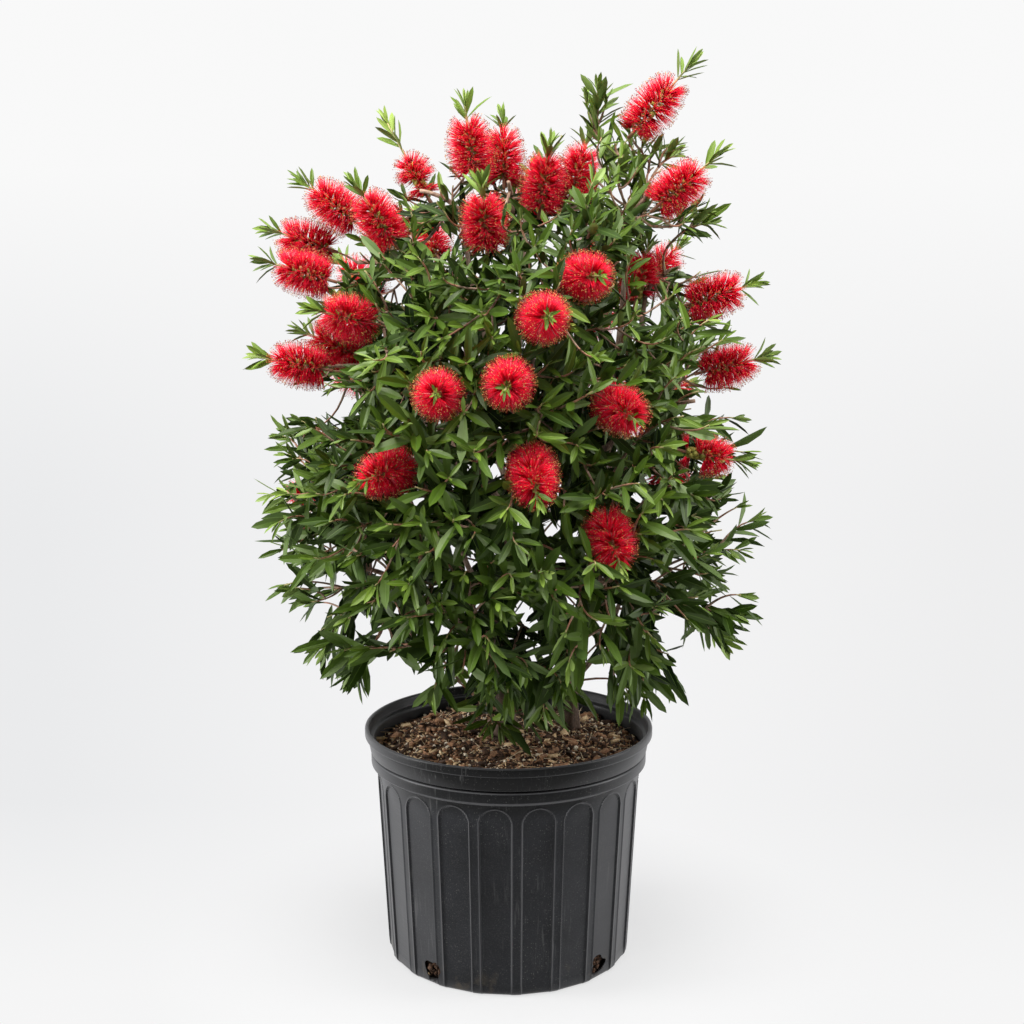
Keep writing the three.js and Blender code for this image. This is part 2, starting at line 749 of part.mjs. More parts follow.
// The wood of a twig. A mass's stem goes on from its bough, and a flowering shoot runs on through its
// brush and swells into the leafy tip beyond it.
function twigGeometry({ curve, tip }) {
  const places = [curve.getPoint(0), ...curve.curves.map((step) => step.v2)];
  const radii = taper(tip ? TWIG_RADIUS : BOUGH_TIP_RADIUS, TWIG_TIP_RADIUS, TWIG_STEPS);
  if (tip) {
    radii[0] = TWIG_ROOT_RADIUS;
  }
  if (tip?.flowering) {
    for (const beyond of [LEAFY_TIP_START, LEAFY_TIP_SWELL, LEAFY_TIP_LENGTH]) {
      places.push(tip.place.clone().addScaledVector(tip.heading, BRUSH_LENGTH + beyond));
    }
    radii.push(TWIG_TIP_RADIUS, LEAFY_TIP_RADIUS, TWIG_TIP_RADIUS / 4);
  }
  return limbGeometry(places, radii, TWIG_SIDES);
}

// A mass of foliage: its twigs, brushes and leaves, joined into one solid.
function massGeometry(name) {
  const twigs = growTwigs(name);
  const taken = takenBy(twigs);
  const pieces = twigs.map(twigGeometry);
  for (const twig of twigs.filter(({ tip }) => tip)) {
    pieces.push(...leavesOn(name, twig, taken));
    if (twig.tip.flowering) {
      pieces.push(brushGeometry(twig.tip.middle, twig.tip.heading));
    }
  }
  return toGeometry(pieces.map(toSolid).reduce((whole, piece) => whole.add(piece)));
}

// ---- The plant in its pot ----

const plant = new THREE.Group();
plant.add(namedMesh('pot', potGeometry(), potPlastic));
plant.add(namedMesh('potting_mix', soilGeometry(), pottingMix));

for (const [name, stem] of Object.entries(STEMS)) {
  noteLimb(stemPlaces(stem), stemRadii(stem));
  plant.add(namedMesh(name, stemGeometry(stem, 0), bark));
}

for (const name of Object.keys(MASSES)) {
  noteLimb(boughPlaces(name), BOUGH_RADII);
  plant.add(namedMesh(`bough_${name}`, boughGeometry(name), bark));
}

for (const name of Object.keys(MASSES)) {
  plant.add(namedMesh(`foliage_${name}`, massGeometry(name), foliage));
}

export default plant;
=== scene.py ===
# A crimson bottlebrush shrub growing in a black nursery pot.

import math

import bpy
import numpy as np
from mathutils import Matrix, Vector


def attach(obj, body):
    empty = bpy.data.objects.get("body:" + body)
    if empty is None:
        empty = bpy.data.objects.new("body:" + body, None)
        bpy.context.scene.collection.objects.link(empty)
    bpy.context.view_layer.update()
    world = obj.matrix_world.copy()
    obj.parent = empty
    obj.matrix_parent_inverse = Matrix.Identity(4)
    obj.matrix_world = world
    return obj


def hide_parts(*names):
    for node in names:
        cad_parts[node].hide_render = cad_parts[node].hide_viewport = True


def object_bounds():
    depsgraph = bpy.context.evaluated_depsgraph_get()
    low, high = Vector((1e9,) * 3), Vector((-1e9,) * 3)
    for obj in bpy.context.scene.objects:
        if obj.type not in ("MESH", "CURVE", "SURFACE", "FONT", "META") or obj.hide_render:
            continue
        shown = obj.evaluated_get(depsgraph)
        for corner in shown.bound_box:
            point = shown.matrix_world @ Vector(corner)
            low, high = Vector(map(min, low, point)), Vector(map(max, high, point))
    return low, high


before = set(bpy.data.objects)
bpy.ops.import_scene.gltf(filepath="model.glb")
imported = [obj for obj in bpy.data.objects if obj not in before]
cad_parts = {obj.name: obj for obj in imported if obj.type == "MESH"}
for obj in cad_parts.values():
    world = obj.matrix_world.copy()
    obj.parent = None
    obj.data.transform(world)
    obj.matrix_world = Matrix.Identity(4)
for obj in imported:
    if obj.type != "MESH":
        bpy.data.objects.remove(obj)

cad_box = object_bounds()


# ---- Camera ----
# It looks down a little on the middle of the plant from a metre and a half in front of the pot,
# through a lens of normal length.

CAMERA_PLACE = (0.0033, -1.5, 0.695)
CAMERA_DIP = 9.76

bpy.ops.object.camera_add(location=CAMERA_PLACE, rotation=(math.radians(90 - CAMERA_DIP), 0, 0))
camera = bpy.context.object
camera.data.lens = 56.0
camera.data.sensor_width = 36.0
bpy.context.scene.camera = camera


# ---- Studio ----
# A white paper cove: a floor that turns up into a wall behind the plant and at its sides, so that no
# edge shows. It is open in front. A wide soft lamp hangs over it, and two tall ones stand at its
# sides.

COVE_FLOOR_RADIUS = 2.6
COVE_WALL = ((0.35, 0.03), (0.7, 0.14), (1.0, 0.36), (1.2, 0.7), (1.3, 1.2), (1.34, 2.4))
COVE_MOUTH = -1.3
PAPER = (0.52, 0.52, 0.52)
# Near the pot this share of the paper is its painted glow; the rest is its real shading.
PAPER_GLOW = 0.7
PAPER_SHADE = (0.14, 0.36)
# The colours of the paper's painted glow: at the left, in the middle, at the right, in front and high
# up.
PAPER_LEFT = (0.825, 0.83, 0.84)
PAPER_MIDDLE = (0.905, 0.905, 0.91)
PAPER_RIGHT = (0.855, 0.855, 0.86)
PAPER_FRONT = (0.915, 0.915, 0.917)
PAPER_HIGH = (0.945, 0.945, 0.945)
PAPER_EYE = 1.5
AIR_GLOW = 0.12

scene = bpy.context.scene
scene.view_settings.view_transform = "Standard"
scene.view_settings.look = "None"


def finish_named(name, color, roughness):
    """A material and its Principled shader, with a plain colour to start from."""
    material = bpy.data.materials.new(name)
    material.use_nodes = True
    shader = material.node_tree.nodes["Principled BSDF"]
    shader.inputs["Base Color"].default_value = (*color, 1)
    shader.inputs["Roughness"].default_value = roughness
    return material, shader


def add_node(tree, kind, **values):
    """A shader node with values for its inputs, given by name or by number, or for its settings."""
    node = tree.nodes.new(kind)
    for key, value in values.items():
        if hasattr(node, key):
            setattr(node, key, value)
        else:
            socket = int(key[1:]) if key[0] == "i" and key[1:].isdigit() else key
            node.inputs[socket].default_value = value
    return node


def feed(tree, value, socket):
    """Gives an input what another socket puts out, a colour or a number."""
    if isinstance(value, bpy.types.NodeSocket):
        tree.links.new(value, socket)
    else:
        socket.default_value = (*value, 1) if isinstance(value, tuple) else value


def mix_color(tree, factor, below, above):
    """A colour that goes from below to above by a mask. Each is a colour or a socket."""
    node = add_node(tree, "ShaderNodeMix", data_type="RGBA")
    for number, value in ((0, factor), (6, below), (7, above)):
        feed(tree, value, node.inputs[number])
    return node.outputs[2]


def ramp(tree, socket, low, high, top=1.0, foot=0.0):
    """A mask that goes from foot at low to top at high."""
    node = add_node(tree, "ShaderNodeMapRange", i1=low, i2=high, i3=foot, i4=top)
    tree.links.new(socket, node.inputs[0])
    return node.outputs[0]


def calculated(tree, operation, *values):
    """The outcome of a sum on sockets and numbers."""
    node = add_node(tree, "ShaderNodeMath", operation=operation)
    for number, value in enumerate(values):
        feed(tree, value, node.inputs[number])
    return node.outputs[0]


def product(tree, first, second):
    return calculated(tree, "MULTIPLY", first, second)


def parts_of(tree, vector):
    node = tree.nodes.new("ShaderNodeSeparateXYZ")
    tree.links.new(vector, node.inputs[0])
    return node.outputs


def cove_paper_finish():
    """White paper with a painted glow, seen by the camera and mirrored by glossy things. The glow is
    brighter behind the plant, in front of it and high up, and lets real shading through by the pot."""
    material, shader = finish_named("cove_paper", PAPER, 0.9)
    tree = material.node_tree
    where = tree.nodes.new("ShaderNodeTexCoord").outputs["Object"]
    parts = parts_of(tree, where)
    slope = calculated(tree, "DIVIDE", parts["X"], calculated(tree, "ADD", parts["Y"], PAPER_EYE))
    tone = PAPER_LEFT
    for value, low, high, color in ((slope, -0.3, -0.04, PAPER_MIDDLE), (slope, 0.07, 0.3, PAPER_RIGHT),
                                    (parts["Y"], 0.4, -0.1, PAPER_FRONT),
                                    (parts["Z"], 0.0, 0.9, PAPER_HIGH)):
        tone = mix_color(tree, ramp(tree, value, low, high), tone, color)
    glow = add_node(tree, "ShaderNodeEmission", Strength=1.0)
    tree.links.new(tone, glow.inputs["Color"])
    reach = add_node(tree, "ShaderNodeVectorMath", operation="LENGTH")
    tree.links.new(where, reach.inputs[0])
    path = tree.nodes.new("ShaderNodeLightPath")
    seen = calculated(tree, "MAXIMUM", path.outputs["Is Camera Ray"], path.outputs["Is Glossy Ray"])
    clear = ramp(tree, reach.outputs["Value"], *PAPER_SHADE, 1.0, PAPER_GLOW)
    blend = tree.nodes.new("ShaderNodeMixShader")
    tree.links.new(product(tree, seen, clear), blend.inputs[0])
    tree.links.new(shader.outputs[0], blend.inputs[1])
    tree.links.new(glow.outputs[0], blend.inputs[2])
    tree.links.new(blend.outputs[0], tree.nodes["Material Output"].inputs["Surface"])
    material.cycles.emission_sampling = "NONE"
    return material


bpy.ops.object.select_all(action="DESELECT")
bpy.ops.mesh.primitive_circle_add(vertices=96, radius=COVE_FLOOR_RADIUS, fill_type="NGON")
cove = bpy.context.object
cove.name = "studio_cove"
bpy.ops.object.mode_set(mode="EDIT")
bpy.ops.mesh.select_mode(type="EDGE")
bpy.ops.mesh.select_all(action="DESELECT")
bpy.ops.mesh.select_non_manifold()
reach, rise = 0.0, 0.0
for step_out, step_up in COVE_WALL:
    bpy.ops.mesh.extrude_region_move(TRANSFORM_OT_translate={"value": (0, 0, step_up - rise)})
    grow = (COVE_FLOOR_RADIUS + step_out) / (COVE_FLOOR_RADIUS + reach)
    bpy.ops.transform.resize(value=(grow, grow, 1))
    reach, rise = step_out, step_up
bpy.ops.mesh.select_all(action="DESELECT")
bpy.ops.mesh.select_mode(type="FACE")
bpy.ops.object.mode_set(mode="OBJECT")
for face in cove.data.polygons:
    face.select = face.center.y < COVE_MOUTH and face.center.z > 0.001
bpy.ops.object.mode_set(mode="EDIT")
bpy.ops.mesh.delete(type="FACE")
bpy.ops.object.mode_set(mode="OBJECT")
bpy.ops.object.shade_smooth()
cove.data.materials.append(cove_paper_finish())

world = bpy.data.worlds.new("studio_air")
world.use_nodes = True
world.node_tree.nodes["Background"].inputs["Color"].default_value = (1, 1, 1, 1)
world.node_tree.nodes["Background"].inputs["Strength"].default_value = AIR_GLOW
scene.world = world


def soft_lamp(name, place, aim, width, height, watts):
    bpy.ops.object.light_add(type="AREA", location=place)
    lamp = bpy.context.object
    lamp.name = name
    lamp.data.shape = "RECTANGLE"
    lamp.data.size = width
    lamp.data.size_y = height
    lamp.data.energy = watts
    way = aim[0] - place[0], aim[1] - place[1], aim[2] - place[2]
    flat = math.hypot(way[0], way[1])
    lamp.rotation_euler = (math.atan2(flat, -way[2]), 0, math.atan2(way[1], way[0]) - math.pi / 2)


soft_lamp("lamp_over", (0.0, -0.6, 2.1), (0, 0, 0.5), 1.2, 1.2, 64)
soft_lamp("lamp_left", (-1.5, -0.25, 0.9), (0, 0, 0.4), 0.6, 1.5, 35)
soft_lamp("lamp_right", (1.5, -0.1, 0.9), (0, 0, 0.4), 0.6, 1.5, 22)


# ---- Pot ----
# A nursery pot blown in one shell of black polyethylene. Twenty panels with arched tops are sunk in
# its side, under a chamfered bead, a groove, a plain band and a flat lip. Four ragged drain holes are
# knocked through at its foot.

MM = 0.001
POT_HEIGHT = 228.0
FOOT_RADIUS = 118.0
BODY_TOP = 187.0
BODY_TOP_RADIUS = 128.0
POT_WALL = 3.0
PANELS = 20
STEPS_PER_PANEL = 32
PANEL_BEARING = -5.4
PANEL_HALF_ANGLE = 7.0
PANEL_TOP = 186.0
PANEL_FOOT = 4.0
PANEL_DEPTH = 1.3
PANEL_EDGE = 1.3
PANEL_FOOT_SHARE = 0.35
PANEL_FOOT_FADE = 16.0
FACET_FADE = 26.0
RIDGE_HEIGHT = 0.6
RIDGE_WIDTH = 0.75
COLUMN_PLACES = (-16, -14, -9, 9, 14, 16)
COLUMN_TURNS = (-9.0, -7.5, -6.2, 6.2, 7.5, 9.0)
BODY_ROWS = (*np.linspace(PANEL_FOOT, 160, 22), *np.linspace(162, BODY_TOP, 48))
DRAIN_BEARINGS = (-37.5, 47.0, 140.0, 230.0)
DRAIN_HEIGHT = 14.0
DRAIN_HALF_WIDTH = 10.2
DRAIN_HALF_HEIGHT = 9.5
PUNCH_SIDES = 18
PUNCH_HALF_LENGTH = 14.0
PUNCH_WAVE = 0.16
PUNCH_STRAY = 0.1
SHARP_ANGLE = 38.0


def only(piece):
    bpy.ops.object.select_all(action="DESELECT")
    piece.select_set(True)
    bpy.context.view_layer.objects.active = piece


def close_outwards():
    """Turns all faces of the piece in edit mode outwards, and leaves edit mode."""
    bpy.ops.mesh.select_all(action="SELECT")
    bpy.ops.mesh.normals_make_consistent(inside=False)
    bpy.ops.object.mode_set(mode="OBJECT")


def body_radius(height):
    return FOOT_RADIUS + (BODY_TOP_RADIUS - FOOT_RADIUS) * height / BODY_TOP


body_rows = [(body_radius(z), z) for z in BODY_ROWS]
pot_section = [
    (0, 0), (60, 0), (113.6, 0), (115.2, 0.5), (116.4, 1.6),
    *body_rows,
    (128.3, 189.4), (130.6, 191.2), (133.3, 192.7), (133.9, 193.3), (134, 194.2), (134.1, 201.6),
    (133.7, 202.9), (133.0, 203.4), (130.8, 203.8), (130.3, 204.3), (130.8, 204.9), (133.6, 205.1),
    (134.4, 205.5), (134.8, 206.4), (137.1, 218.2), (137.0, 219.1), (137.6, 219.5), (139.3, 219.8),
    (139.9, 220.5), (140, 221.6), (140, 226.2), (139.7, 227.3), (138.9, 227.9), (137.9, POT_HEIGHT),
    (136.9, 227.9), (136.2, 227.3), (135.8, 226), (134.9, 219.2), (134.4, 218.4), (131.4, 217.6),
    (130.7, 216.6), (130.4, 213), (130, 200), (125, 187), (115.4, POT_WALL), (60, POT_WALL),
    (0, POT_WALL),
]

bpy.ops.object.select_all(action="DESELECT")
section = bpy.data.meshes.new("pot_shell")
section.from_pydata([(r * MM, 0, z * MM) for r, z in pot_section],
                    [(i, i + 1) for i in range(len(pot_section) - 1)], [])
pot = bpy.data.objects.new("pot_shell", section)
scene.collection.objects.link(pot)
only(pot)
bpy.ops.object.mode_set(mode="EDIT")
bpy.ops.mesh.select_all(action="SELECT")
bpy.ops.mesh.spin(steps=PANELS * STEPS_PER_PANEL, angle=2 * math.pi, center=(0, 0, 0), axis=(0, 0, 1))
bpy.ops.mesh.select_all(action="SELECT")
bpy.ops.mesh.remove_doubles(threshold=2e-5)
close_outwards()


def places_of(mesh):
    flat = np.empty(len(mesh.vertices) * 3, np.float32)
    mesh.vertices.foreach_get("co", flat)
    return flat.reshape(-1, 3).astype(float)


def move_to(mesh, places):
    mesh.vertices.foreach_set("co", places.astype(np.float32).ravel())
    mesh.update()


def smooth_step(low, high, value):
    share = np.clip((value - low) / (high - low), 0, 1)
    return share * share * (3 - 2 * share)


# The panels: flat facets between round ribs, sunk by a step along an arched outline with a fine
# raised ridge on it. The columns of the mesh are drawn together where the panels' edges run.
places = places_of(pot.data) / MM
radius = np.hypot(places[:, 0], places[:, 1])
bearing = np.degrees(np.arctan2(places[:, 0], -places[:, 1]))
column = np.round(bearing / 360 * PANELS * STEPS_PER_PANEL)
panel = np.floor(column / STEPS_PER_PANEL + 0.5)
off_middle = np.interp(column - panel * STEPS_PER_PANEL, COLUMN_PLACES, COLUMN_TURNS)
turn = np.radians(panel * 360 / PANELS + off_middle + PANEL_BEARING)
height = places[:, 2]
outer = (radius > body_radius(height) - POT_WALL / 2 - 3 * (height < 2)) & (height < BODY_TOP + 0.5)
across = np.abs(off_middle) * np.pi / 180 * np.maximum(radius, 1)
half_width = PANEL_HALF_ANGLE * np.pi / 180 * np.maximum(radius, 1)
shoulder = PANEL_TOP - half_width
from_arch = np.hypot(across, np.maximum(0, height - shoulder))
inside = smooth_step(0, PANEL_EDGE, half_width - from_arch)
flat_radius = radius * np.cos(np.radians(PANEL_HALF_ANGLE)) / np.cos(np.radians(off_middle))
facet = smooth_step(0, FACET_FADE, PANEL_TOP - height)
deep = PANEL_FOOT_SHARE + (1 - PANEL_FOOT_SHARE) * smooth_step(0, PANEL_FOOT_FADE, height)
sunk = radius - (radius - flat_radius) * facet - PANEL_DEPTH * deep
ridge = RIDGE_HEIGHT * np.exp(-((half_width - from_arch) / RIDGE_WIDTH) ** 2) * smooth_step(2, 7, height)
shaped = np.where(outer, radius + (sunk - radius) * inside + ridge, radius)
move_to(pot.data, np.column_stack([shaped * np.sin(turn), -shaped * np.cos(turn), height]) * MM)

# The drain holes, with ragged edges.
rng = np.random.default_rng(11)
for index, turn in enumerate(DRAIN_BEARINGS):
    bpy.ops.object.select_all(action="DESELECT")
    bpy.ops.mesh.primitive_cylinder_add(vertices=PUNCH_SIDES, radius=1, depth=2, end_fill_type="NGON")
    punch = bpy.context.object
    corners = places_of(punch.data)
    ragged = 1 + PUNCH_WAVE * np.sin(3 * np.arctan2(corners[:, 1], corners[:, 0]) + 2 * index)
    ragged += PUNCH_STRAY * rng.normal(size=PUNCH_SIDES).repeat(2)
    turned = np.stack([corners[:, 0] * ragged * DRAIN_HALF_WIDTH, corners[:, 2] * PUNCH_HALF_LENGTH,
                       corners[:, 1] * ragged * DRAIN_HALF_HEIGHT], 1)
    way = math.radians(turn)
    out = np.array([math.sin(way), -math.cos(way)])
    side = np.array([math.cos(way), math.sin(way)])
    spot = turned[:, :1] * side + (FOOT_RADIUS - turned[:, 1:2]) * out
    move_to(punch.data, np.column_stack([spot, turned[:, 2] + DRAIN_HEIGHT]) * MM)
    only(punch)
    bpy.ops.object.mode_set(mode="EDIT")
    close_outwards()
    only(pot)
    cut = pot.modifiers.new("drain", "BOOLEAN")
    cut.operation = "DIFFERENCE"
    cut.object = punch
    cut.solver = "MANIFOLD"
    bpy.ops.object.modifier_apply(modifier=cut.name)
    bpy.data.objects.remove(punch)
bpy.ops.object.shade_smooth_by_angle(angle=math.radians(SHARP_ANGLE))


def specks_group():
    """Scattered specks: a mask of round dots, few or many, of one size."""
    group = bpy.data.node_groups.new("specks", "ShaderNodeTree")
    for key, kind in (("Vector", "Vector"), ("Scale", "Float"), ("Size", "Float"), ("Share", "Float")):
        group.interface.new_socket(key, in_out="INPUT", socket_type="NodeSocket" + kind)
    group.interface.new_socket("Mask", in_out="OUTPUT", socket_type="NodeSocketFloat")
    start = group.nodes.new("NodeGroupInput").outputs
    end = group.nodes.new("NodeGroupOutput").inputs
    cells = group.nodes.new("ShaderNodeTexVoronoi")
    for key in ("Vector", "Scale"):
        group.links.new(start[key], cells.inputs[key])
    near = calculated(group, "LESS_THAN", cells.outputs["Distance"], start["Size"])
    split = group.nodes.new("ShaderNodeSeparateColor")
    group.links.new(cells.outputs["Color"], split.inputs["Color"])
    chosen = calculated(group, "LESS_THAN", split.outputs["Red"], start["Share"])
    group.links.new(product(group, near, chosen), end["Mask"])
    return group


specks = specks_group()


def noise(tree, vector, scale, detail=3.0, roughness=0.55):
    node = add_node(tree, "ShaderNodeTexNoise", Scale=scale, Detail=detail, Roughness=roughness)
    tree.links.new(vector, node.inputs["Vector"])
    return node.outputs["Fac"]


def stretched(tree, vector, scale, location=(0, 0, 0)):
    node = add_node(tree, "ShaderNodeMapping", Scale=scale, Location=location)
    tree.links.new(vector, node.inputs["Vector"])
    return node.outputs["Vector"]


def speck_mask(tree, vector, scale, size, share):
    node = tree.nodes.new("ShaderNodeGroup")
    node.node_tree = specks
    tree.links.new(vector, node.inputs["Vector"])
    for key, value in (("Scale", scale), ("Size", size), ("Share", share)):
        node.inputs[key].default_value = value
    return node.outputs["Mask"]


def relief(tree, shader, socket, strength, depth):
    bump = add_node(tree, "ShaderNodeBump", Strength=strength, Distance=depth)
    tree.links.new(socket, bump.inputs["Height"])
    tree.links.new(bump.outputs["Normal"], shader.inputs["Normal"])


# The rubbed rings, pale partly from wear and partly as painted highlight lines on the edges: the height
# of each one's middle, half its width, and how pale it is.
RUBBED_AND_HIGHLIT_RINGS = ((227.6, 0.9, 0.5), (219.6, 0.7, 0.6), (202.5, 0.9, 1.0), (193.2, 0.9, 0.8))

# Painted shade, darker under the bead and the crown, as the plastic goes up: from which height, to
# which, and by how much.
ARCH_SHADE = (0.175, 0.187, 0.7)
BAND_SHADE = (0.2035, 0.2045, 0.9)


def rubbed_and_highlit_edges(tree, parts):
    """Where the plastic is rubbed pale and painted with highlight lines: on the panels' ridges, which
    stand proud of the body, and on the edges of the lip and of the bead."""
    across = calculated(tree, "POWER", parts["X"], 2.0)
    deep = calculated(tree, "POWER", parts["Y"], 2.0)
    radius = calculated(tree, "SQRT", calculated(tree, "ADD", across, deep))
    taper = (BODY_TOP_RADIUS - FOOT_RADIUS) / BODY_TOP
    body = calculated(tree, "MULTIPLY_ADD", parts["Z"], taper, FOOT_RADIUS * MM)
    proud = calculated(tree, "SUBTRACT", radius, body)
    low = ramp(tree, parts["Z"], (BODY_TOP + 1) * MM, BODY_TOP * MM)
    rubbed_and_highlit = product(tree, low, ramp(tree, proud, 0.2 * MM, 0.5 * MM, 0.5))
    for middle, half, pale in RUBBED_AND_HIGHLIT_RINGS:
        off = calculated(tree, "ABSOLUTE", calculated(tree, "SUBTRACT", parts["Z"], middle * MM))
        rubbed_and_highlit = calculated(tree, "MAXIMUM", rubbed_and_highlit, ramp(tree, off, half * MM, 0.0, pale))
    return rubbed_and_highlit


def pot_plastic_finish():
    """Black plastic with a fine level grain. It has painted shade above the panels and a painted sheen
    where it turns away. It has scuffs, dust, rubbed edges with painted highlight lines, and a smear of
    earth at its foot."""
    material, shader = finish_named("pot_plastic", (0.012, 0.012, 0.013), 0.4)
    shader.inputs["Specular IOR Level"].default_value = 0.16
    tree = material.node_tree
    where = tree.nodes.new("ShaderNodeTexCoord").outputs["Object"]
    parts = parts_of(tree, where)
    grain = noise(tree, stretched(tree, where, (18, 18, 1500)), 1.0, 2.0)
    cloud = noise(tree, where, 22.0)
    color = mix_color(tree, ramp(tree, cloud, 0.3, 0.75), (0.009, 0.0095, 0.011), (0.018, 0.019, 0.022))
    fleck = noise(tree, where, 900.0, 2.0)
    color = mix_color(tree, ramp(tree, fleck, 0.5, 0.72, 0.3), color, (0.06, 0.06, 0.062))
    # Painted shade above the panels, deepest on the band and the lip.
    shade = calculated(tree, "MAXIMUM", ramp(tree, parts["Z"], *ARCH_SHADE),
                       ramp(tree, parts["Z"], *BAND_SHADE))
    color = mix_color(tree, shade, color, (0.004, 0.004, 0.004))
    # A painted sheen: paler where the plastic turns away from the camera.
    slant = add_node(tree, "ShaderNodeLayerWeight", Blend=0.5).outputs["Facing"]
    color = mix_color(tree, ramp(tree, slant, 0.2, 0.8, 0.62), color, (0.15, 0.15, 0.155))
    streaks = noise(tree, stretched(tree, where, (420, 420, 26)), 1.0, 3.0)
    patch = noise(tree, stretched(tree, where, (15, 15, 9), (3.1, 0.4, 1.2)), 1.0, 2.0)
    scuffs = product(tree, ramp(tree, streaks, 0.56, 0.72), ramp(tree, patch, 0.5, 0.68, 0.62))
    color = mix_color(tree, scuffs, color, (0.12, 0.12, 0.118))
    for size, pale in ((1050.0, (0.07, 0.07, 0.068)), (520.0, (0.085, 0.083, 0.078))):
        dust = speck_mask(tree, where, size, 0.26, 0.3)
        dusty = product(tree, dust, ramp(tree, noise(tree, where, size / 22), 0.42, 0.6, 0.75))
        color = mix_color(tree, dusty, color, pale)
    # Rubbed edges with painted highlight lines.
    color = mix_color(tree, rubbed_and_highlit_edges(tree, parts), color, (0.09, 0.09, 0.094))
    low = ramp(tree, parts["Z"], 0.03, 0.0)
    smear = product(tree, low, ramp(tree, noise(tree, where, 75.0, 5.0), 0.55, 0.68, 0.5))
    color = mix_color(tree, smear, color, (0.1, 0.08, 0.055))
    tree.links.new(color, shader.inputs["Base Color"])
    tree.links.new(ramp(tree, grain, 0.3, 0.7, 0.46, 0.32), shader.inputs["Roughness"])
    relief(tree, shader, grain, 0.25, 0.0003)
    return material


pot.data.materials.clear()
pot.data.materials.append(pot_plastic_finish())
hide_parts("pot")
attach(pot, "root")


# ---- Potting mix ----
# Composted bark with perlite and straw, poured in and heaped a little at the middle. The fill itself
# is one dark body, and the chips, the grit and the fibres that lie on it are loose pieces.

GROUND = 212.0
SOIL_EDGE = 206.0
LEVEL_RADIUS = 92.0
SOIL_RADIUS = 129.6
STEM_FEET = ((-2.0, 12.0, 9.0), (62.0, 34.0, 7.0))
MIX_SINK = 1.2
LUMP_HEIGHT = 1.3
HOLLOW_DEPTH = 2.0
HOLLOW_WIDTH = 14.0
STEM_CLEAR = 1.7
MIX_RINGS = 40
MIX_RING_WIDTH = 3.2


def soil_height(x, y):
    """The height of the mix: level in the middle, lower at the wall, lumpy, and hollow by the stems."""
    reach = np.hypot(x, y)
    slope = np.clip((reach - LEVEL_RADIUS) / (SOIL_RADIUS - LEVEL_RADIUS), 0, 1)
    height = GROUND - (GROUND - SOIL_EDGE) * slope
    lumps = np.sin(x / 9.1 + 1.3) * np.sin(y / 7.7 - 0.4) + 0.7 * np.sin(x / 4.3 - y / 5.9 + 2.0)
    lumps += 0.5 * np.sin(x / 2.9 + y / 3.7)
    height = height - MIX_SINK + LUMP_HEIGHT * lumps
    for foot_x, foot_y, radius in STEM_FEET:
        off = np.hypot(x - foot_x, y - foot_y) - radius
        height = height - HOLLOW_DEPTH * np.exp(-((off / HOLLOW_WIDTH) ** 2))
    return height


bpy.ops.object.select_all(action="DESELECT")
bpy.ops.mesh.primitive_circle_add(vertices=128, radius=SOIL_RADIUS * MM, fill_type="NGON",
                                  location=(0, 0, SOIL_EDGE * MM))
soil = bpy.context.object
soil.name = "potting_mix_fill"
bpy.ops.object.transform_apply(location=True, rotation=False, scale=False)
bpy.ops.object.mode_set(mode="EDIT")
bpy.ops.mesh.select_mode(type="FACE")
bpy.ops.mesh.select_all(action="SELECT")
for _ in range(MIX_RINGS):
    bpy.ops.mesh.inset(thickness=MIX_RING_WIDTH * MM)
bpy.ops.mesh.select_all(action="DESELECT")
bpy.ops.mesh.select_mode(type="EDGE")
bpy.ops.mesh.select_non_manifold()
for radius, height in ((124.3, BODY_TOP), (109.6, POT_WALL + 0.4)):
    bpy.ops.mesh.extrude_region_move()
    bpy.ops.object.mode_set(mode="OBJECT")
    places = places_of(soil.data)
    chosen = np.array([vertex.select for vertex in soil.data.vertices])
    flat = np.hypot(places[chosen, 0], places[chosen, 1])
    places[chosen, :2] *= (radius * MM / flat)[:, None]
    places[chosen, 2] = height * MM
    move_to(soil.data, places)
    bpy.ops.object.mode_set(mode="EDIT")
bpy.ops.mesh.edge_face_add()
close_outwards()
places = places_of(soil.data) / MM
top = places[:, 2] > BODY_TOP + 1
places[top, 2] = soil_height(places[top, 0], places[top, 1])
move_to(soil.data, places * MM)
bpy.ops.object.shade_smooth()


def joined(name, corners, faces, materials, dealt, creases=()):
    """Many like shapes as one mesh. corners holds the corners of each in millimetres, faces those of
    one, and dealt the material's number for each shape and face. creases are edges that stay sharp."""
    count, points = corners.shape[:2]
    sizes = np.array([len(face) for face in faces])
    flat = np.array([corner for face in faces for corner in face])
    loops = (flat[None, :] + points * np.arange(count)[:, None]).ravel()
    starts = ((np.cumsum(sizes) - sizes)[None, :] + len(flat) * np.arange(count)[:, None]).ravel()
    mesh = bpy.data.meshes.new(name)
    mesh.vertices.add(count * points)
    mesh.loops.add(len(loops))
    mesh.polygons.add(count * len(faces))
    mesh.vertices.foreach_set("co", (corners * MM).astype(np.float32).ravel())
    mesh.loops.foreach_set("vertex_index", loops.astype(np.int32))
    mesh.polygons.foreach_set("loop_start", starts.astype(np.int32))
    dealt = np.broadcast_to(dealt, (count, len(faces))).astype(np.int32)
    mesh.polygons.foreach_set("material_index", dealt.ravel())
    mesh.update(calc_edges=True)
    if creases:
        sharp = np.zeros((points, points), bool)
        for one, other in creases:
            sharp[one, other] = sharp[other, one] = True
        ends = np.empty(len(mesh.edges) * 2, np.int32)
        mesh.edges.foreach_get("vertices", ends)
        ends = ends.reshape(-1, 2) % points
        sharp_edges = mesh.attributes.new("sharp_edge", "BOOLEAN", "EDGE")
        sharp_edges.data.foreach_set("value", sharp[ends[:, 0], ends[:, 1]])
    for material in materials:
        mesh.materials.append(material)
    piece = bpy.data.objects.new(name, mesh)
    scene.collection.objects.link(piece)
    return piece


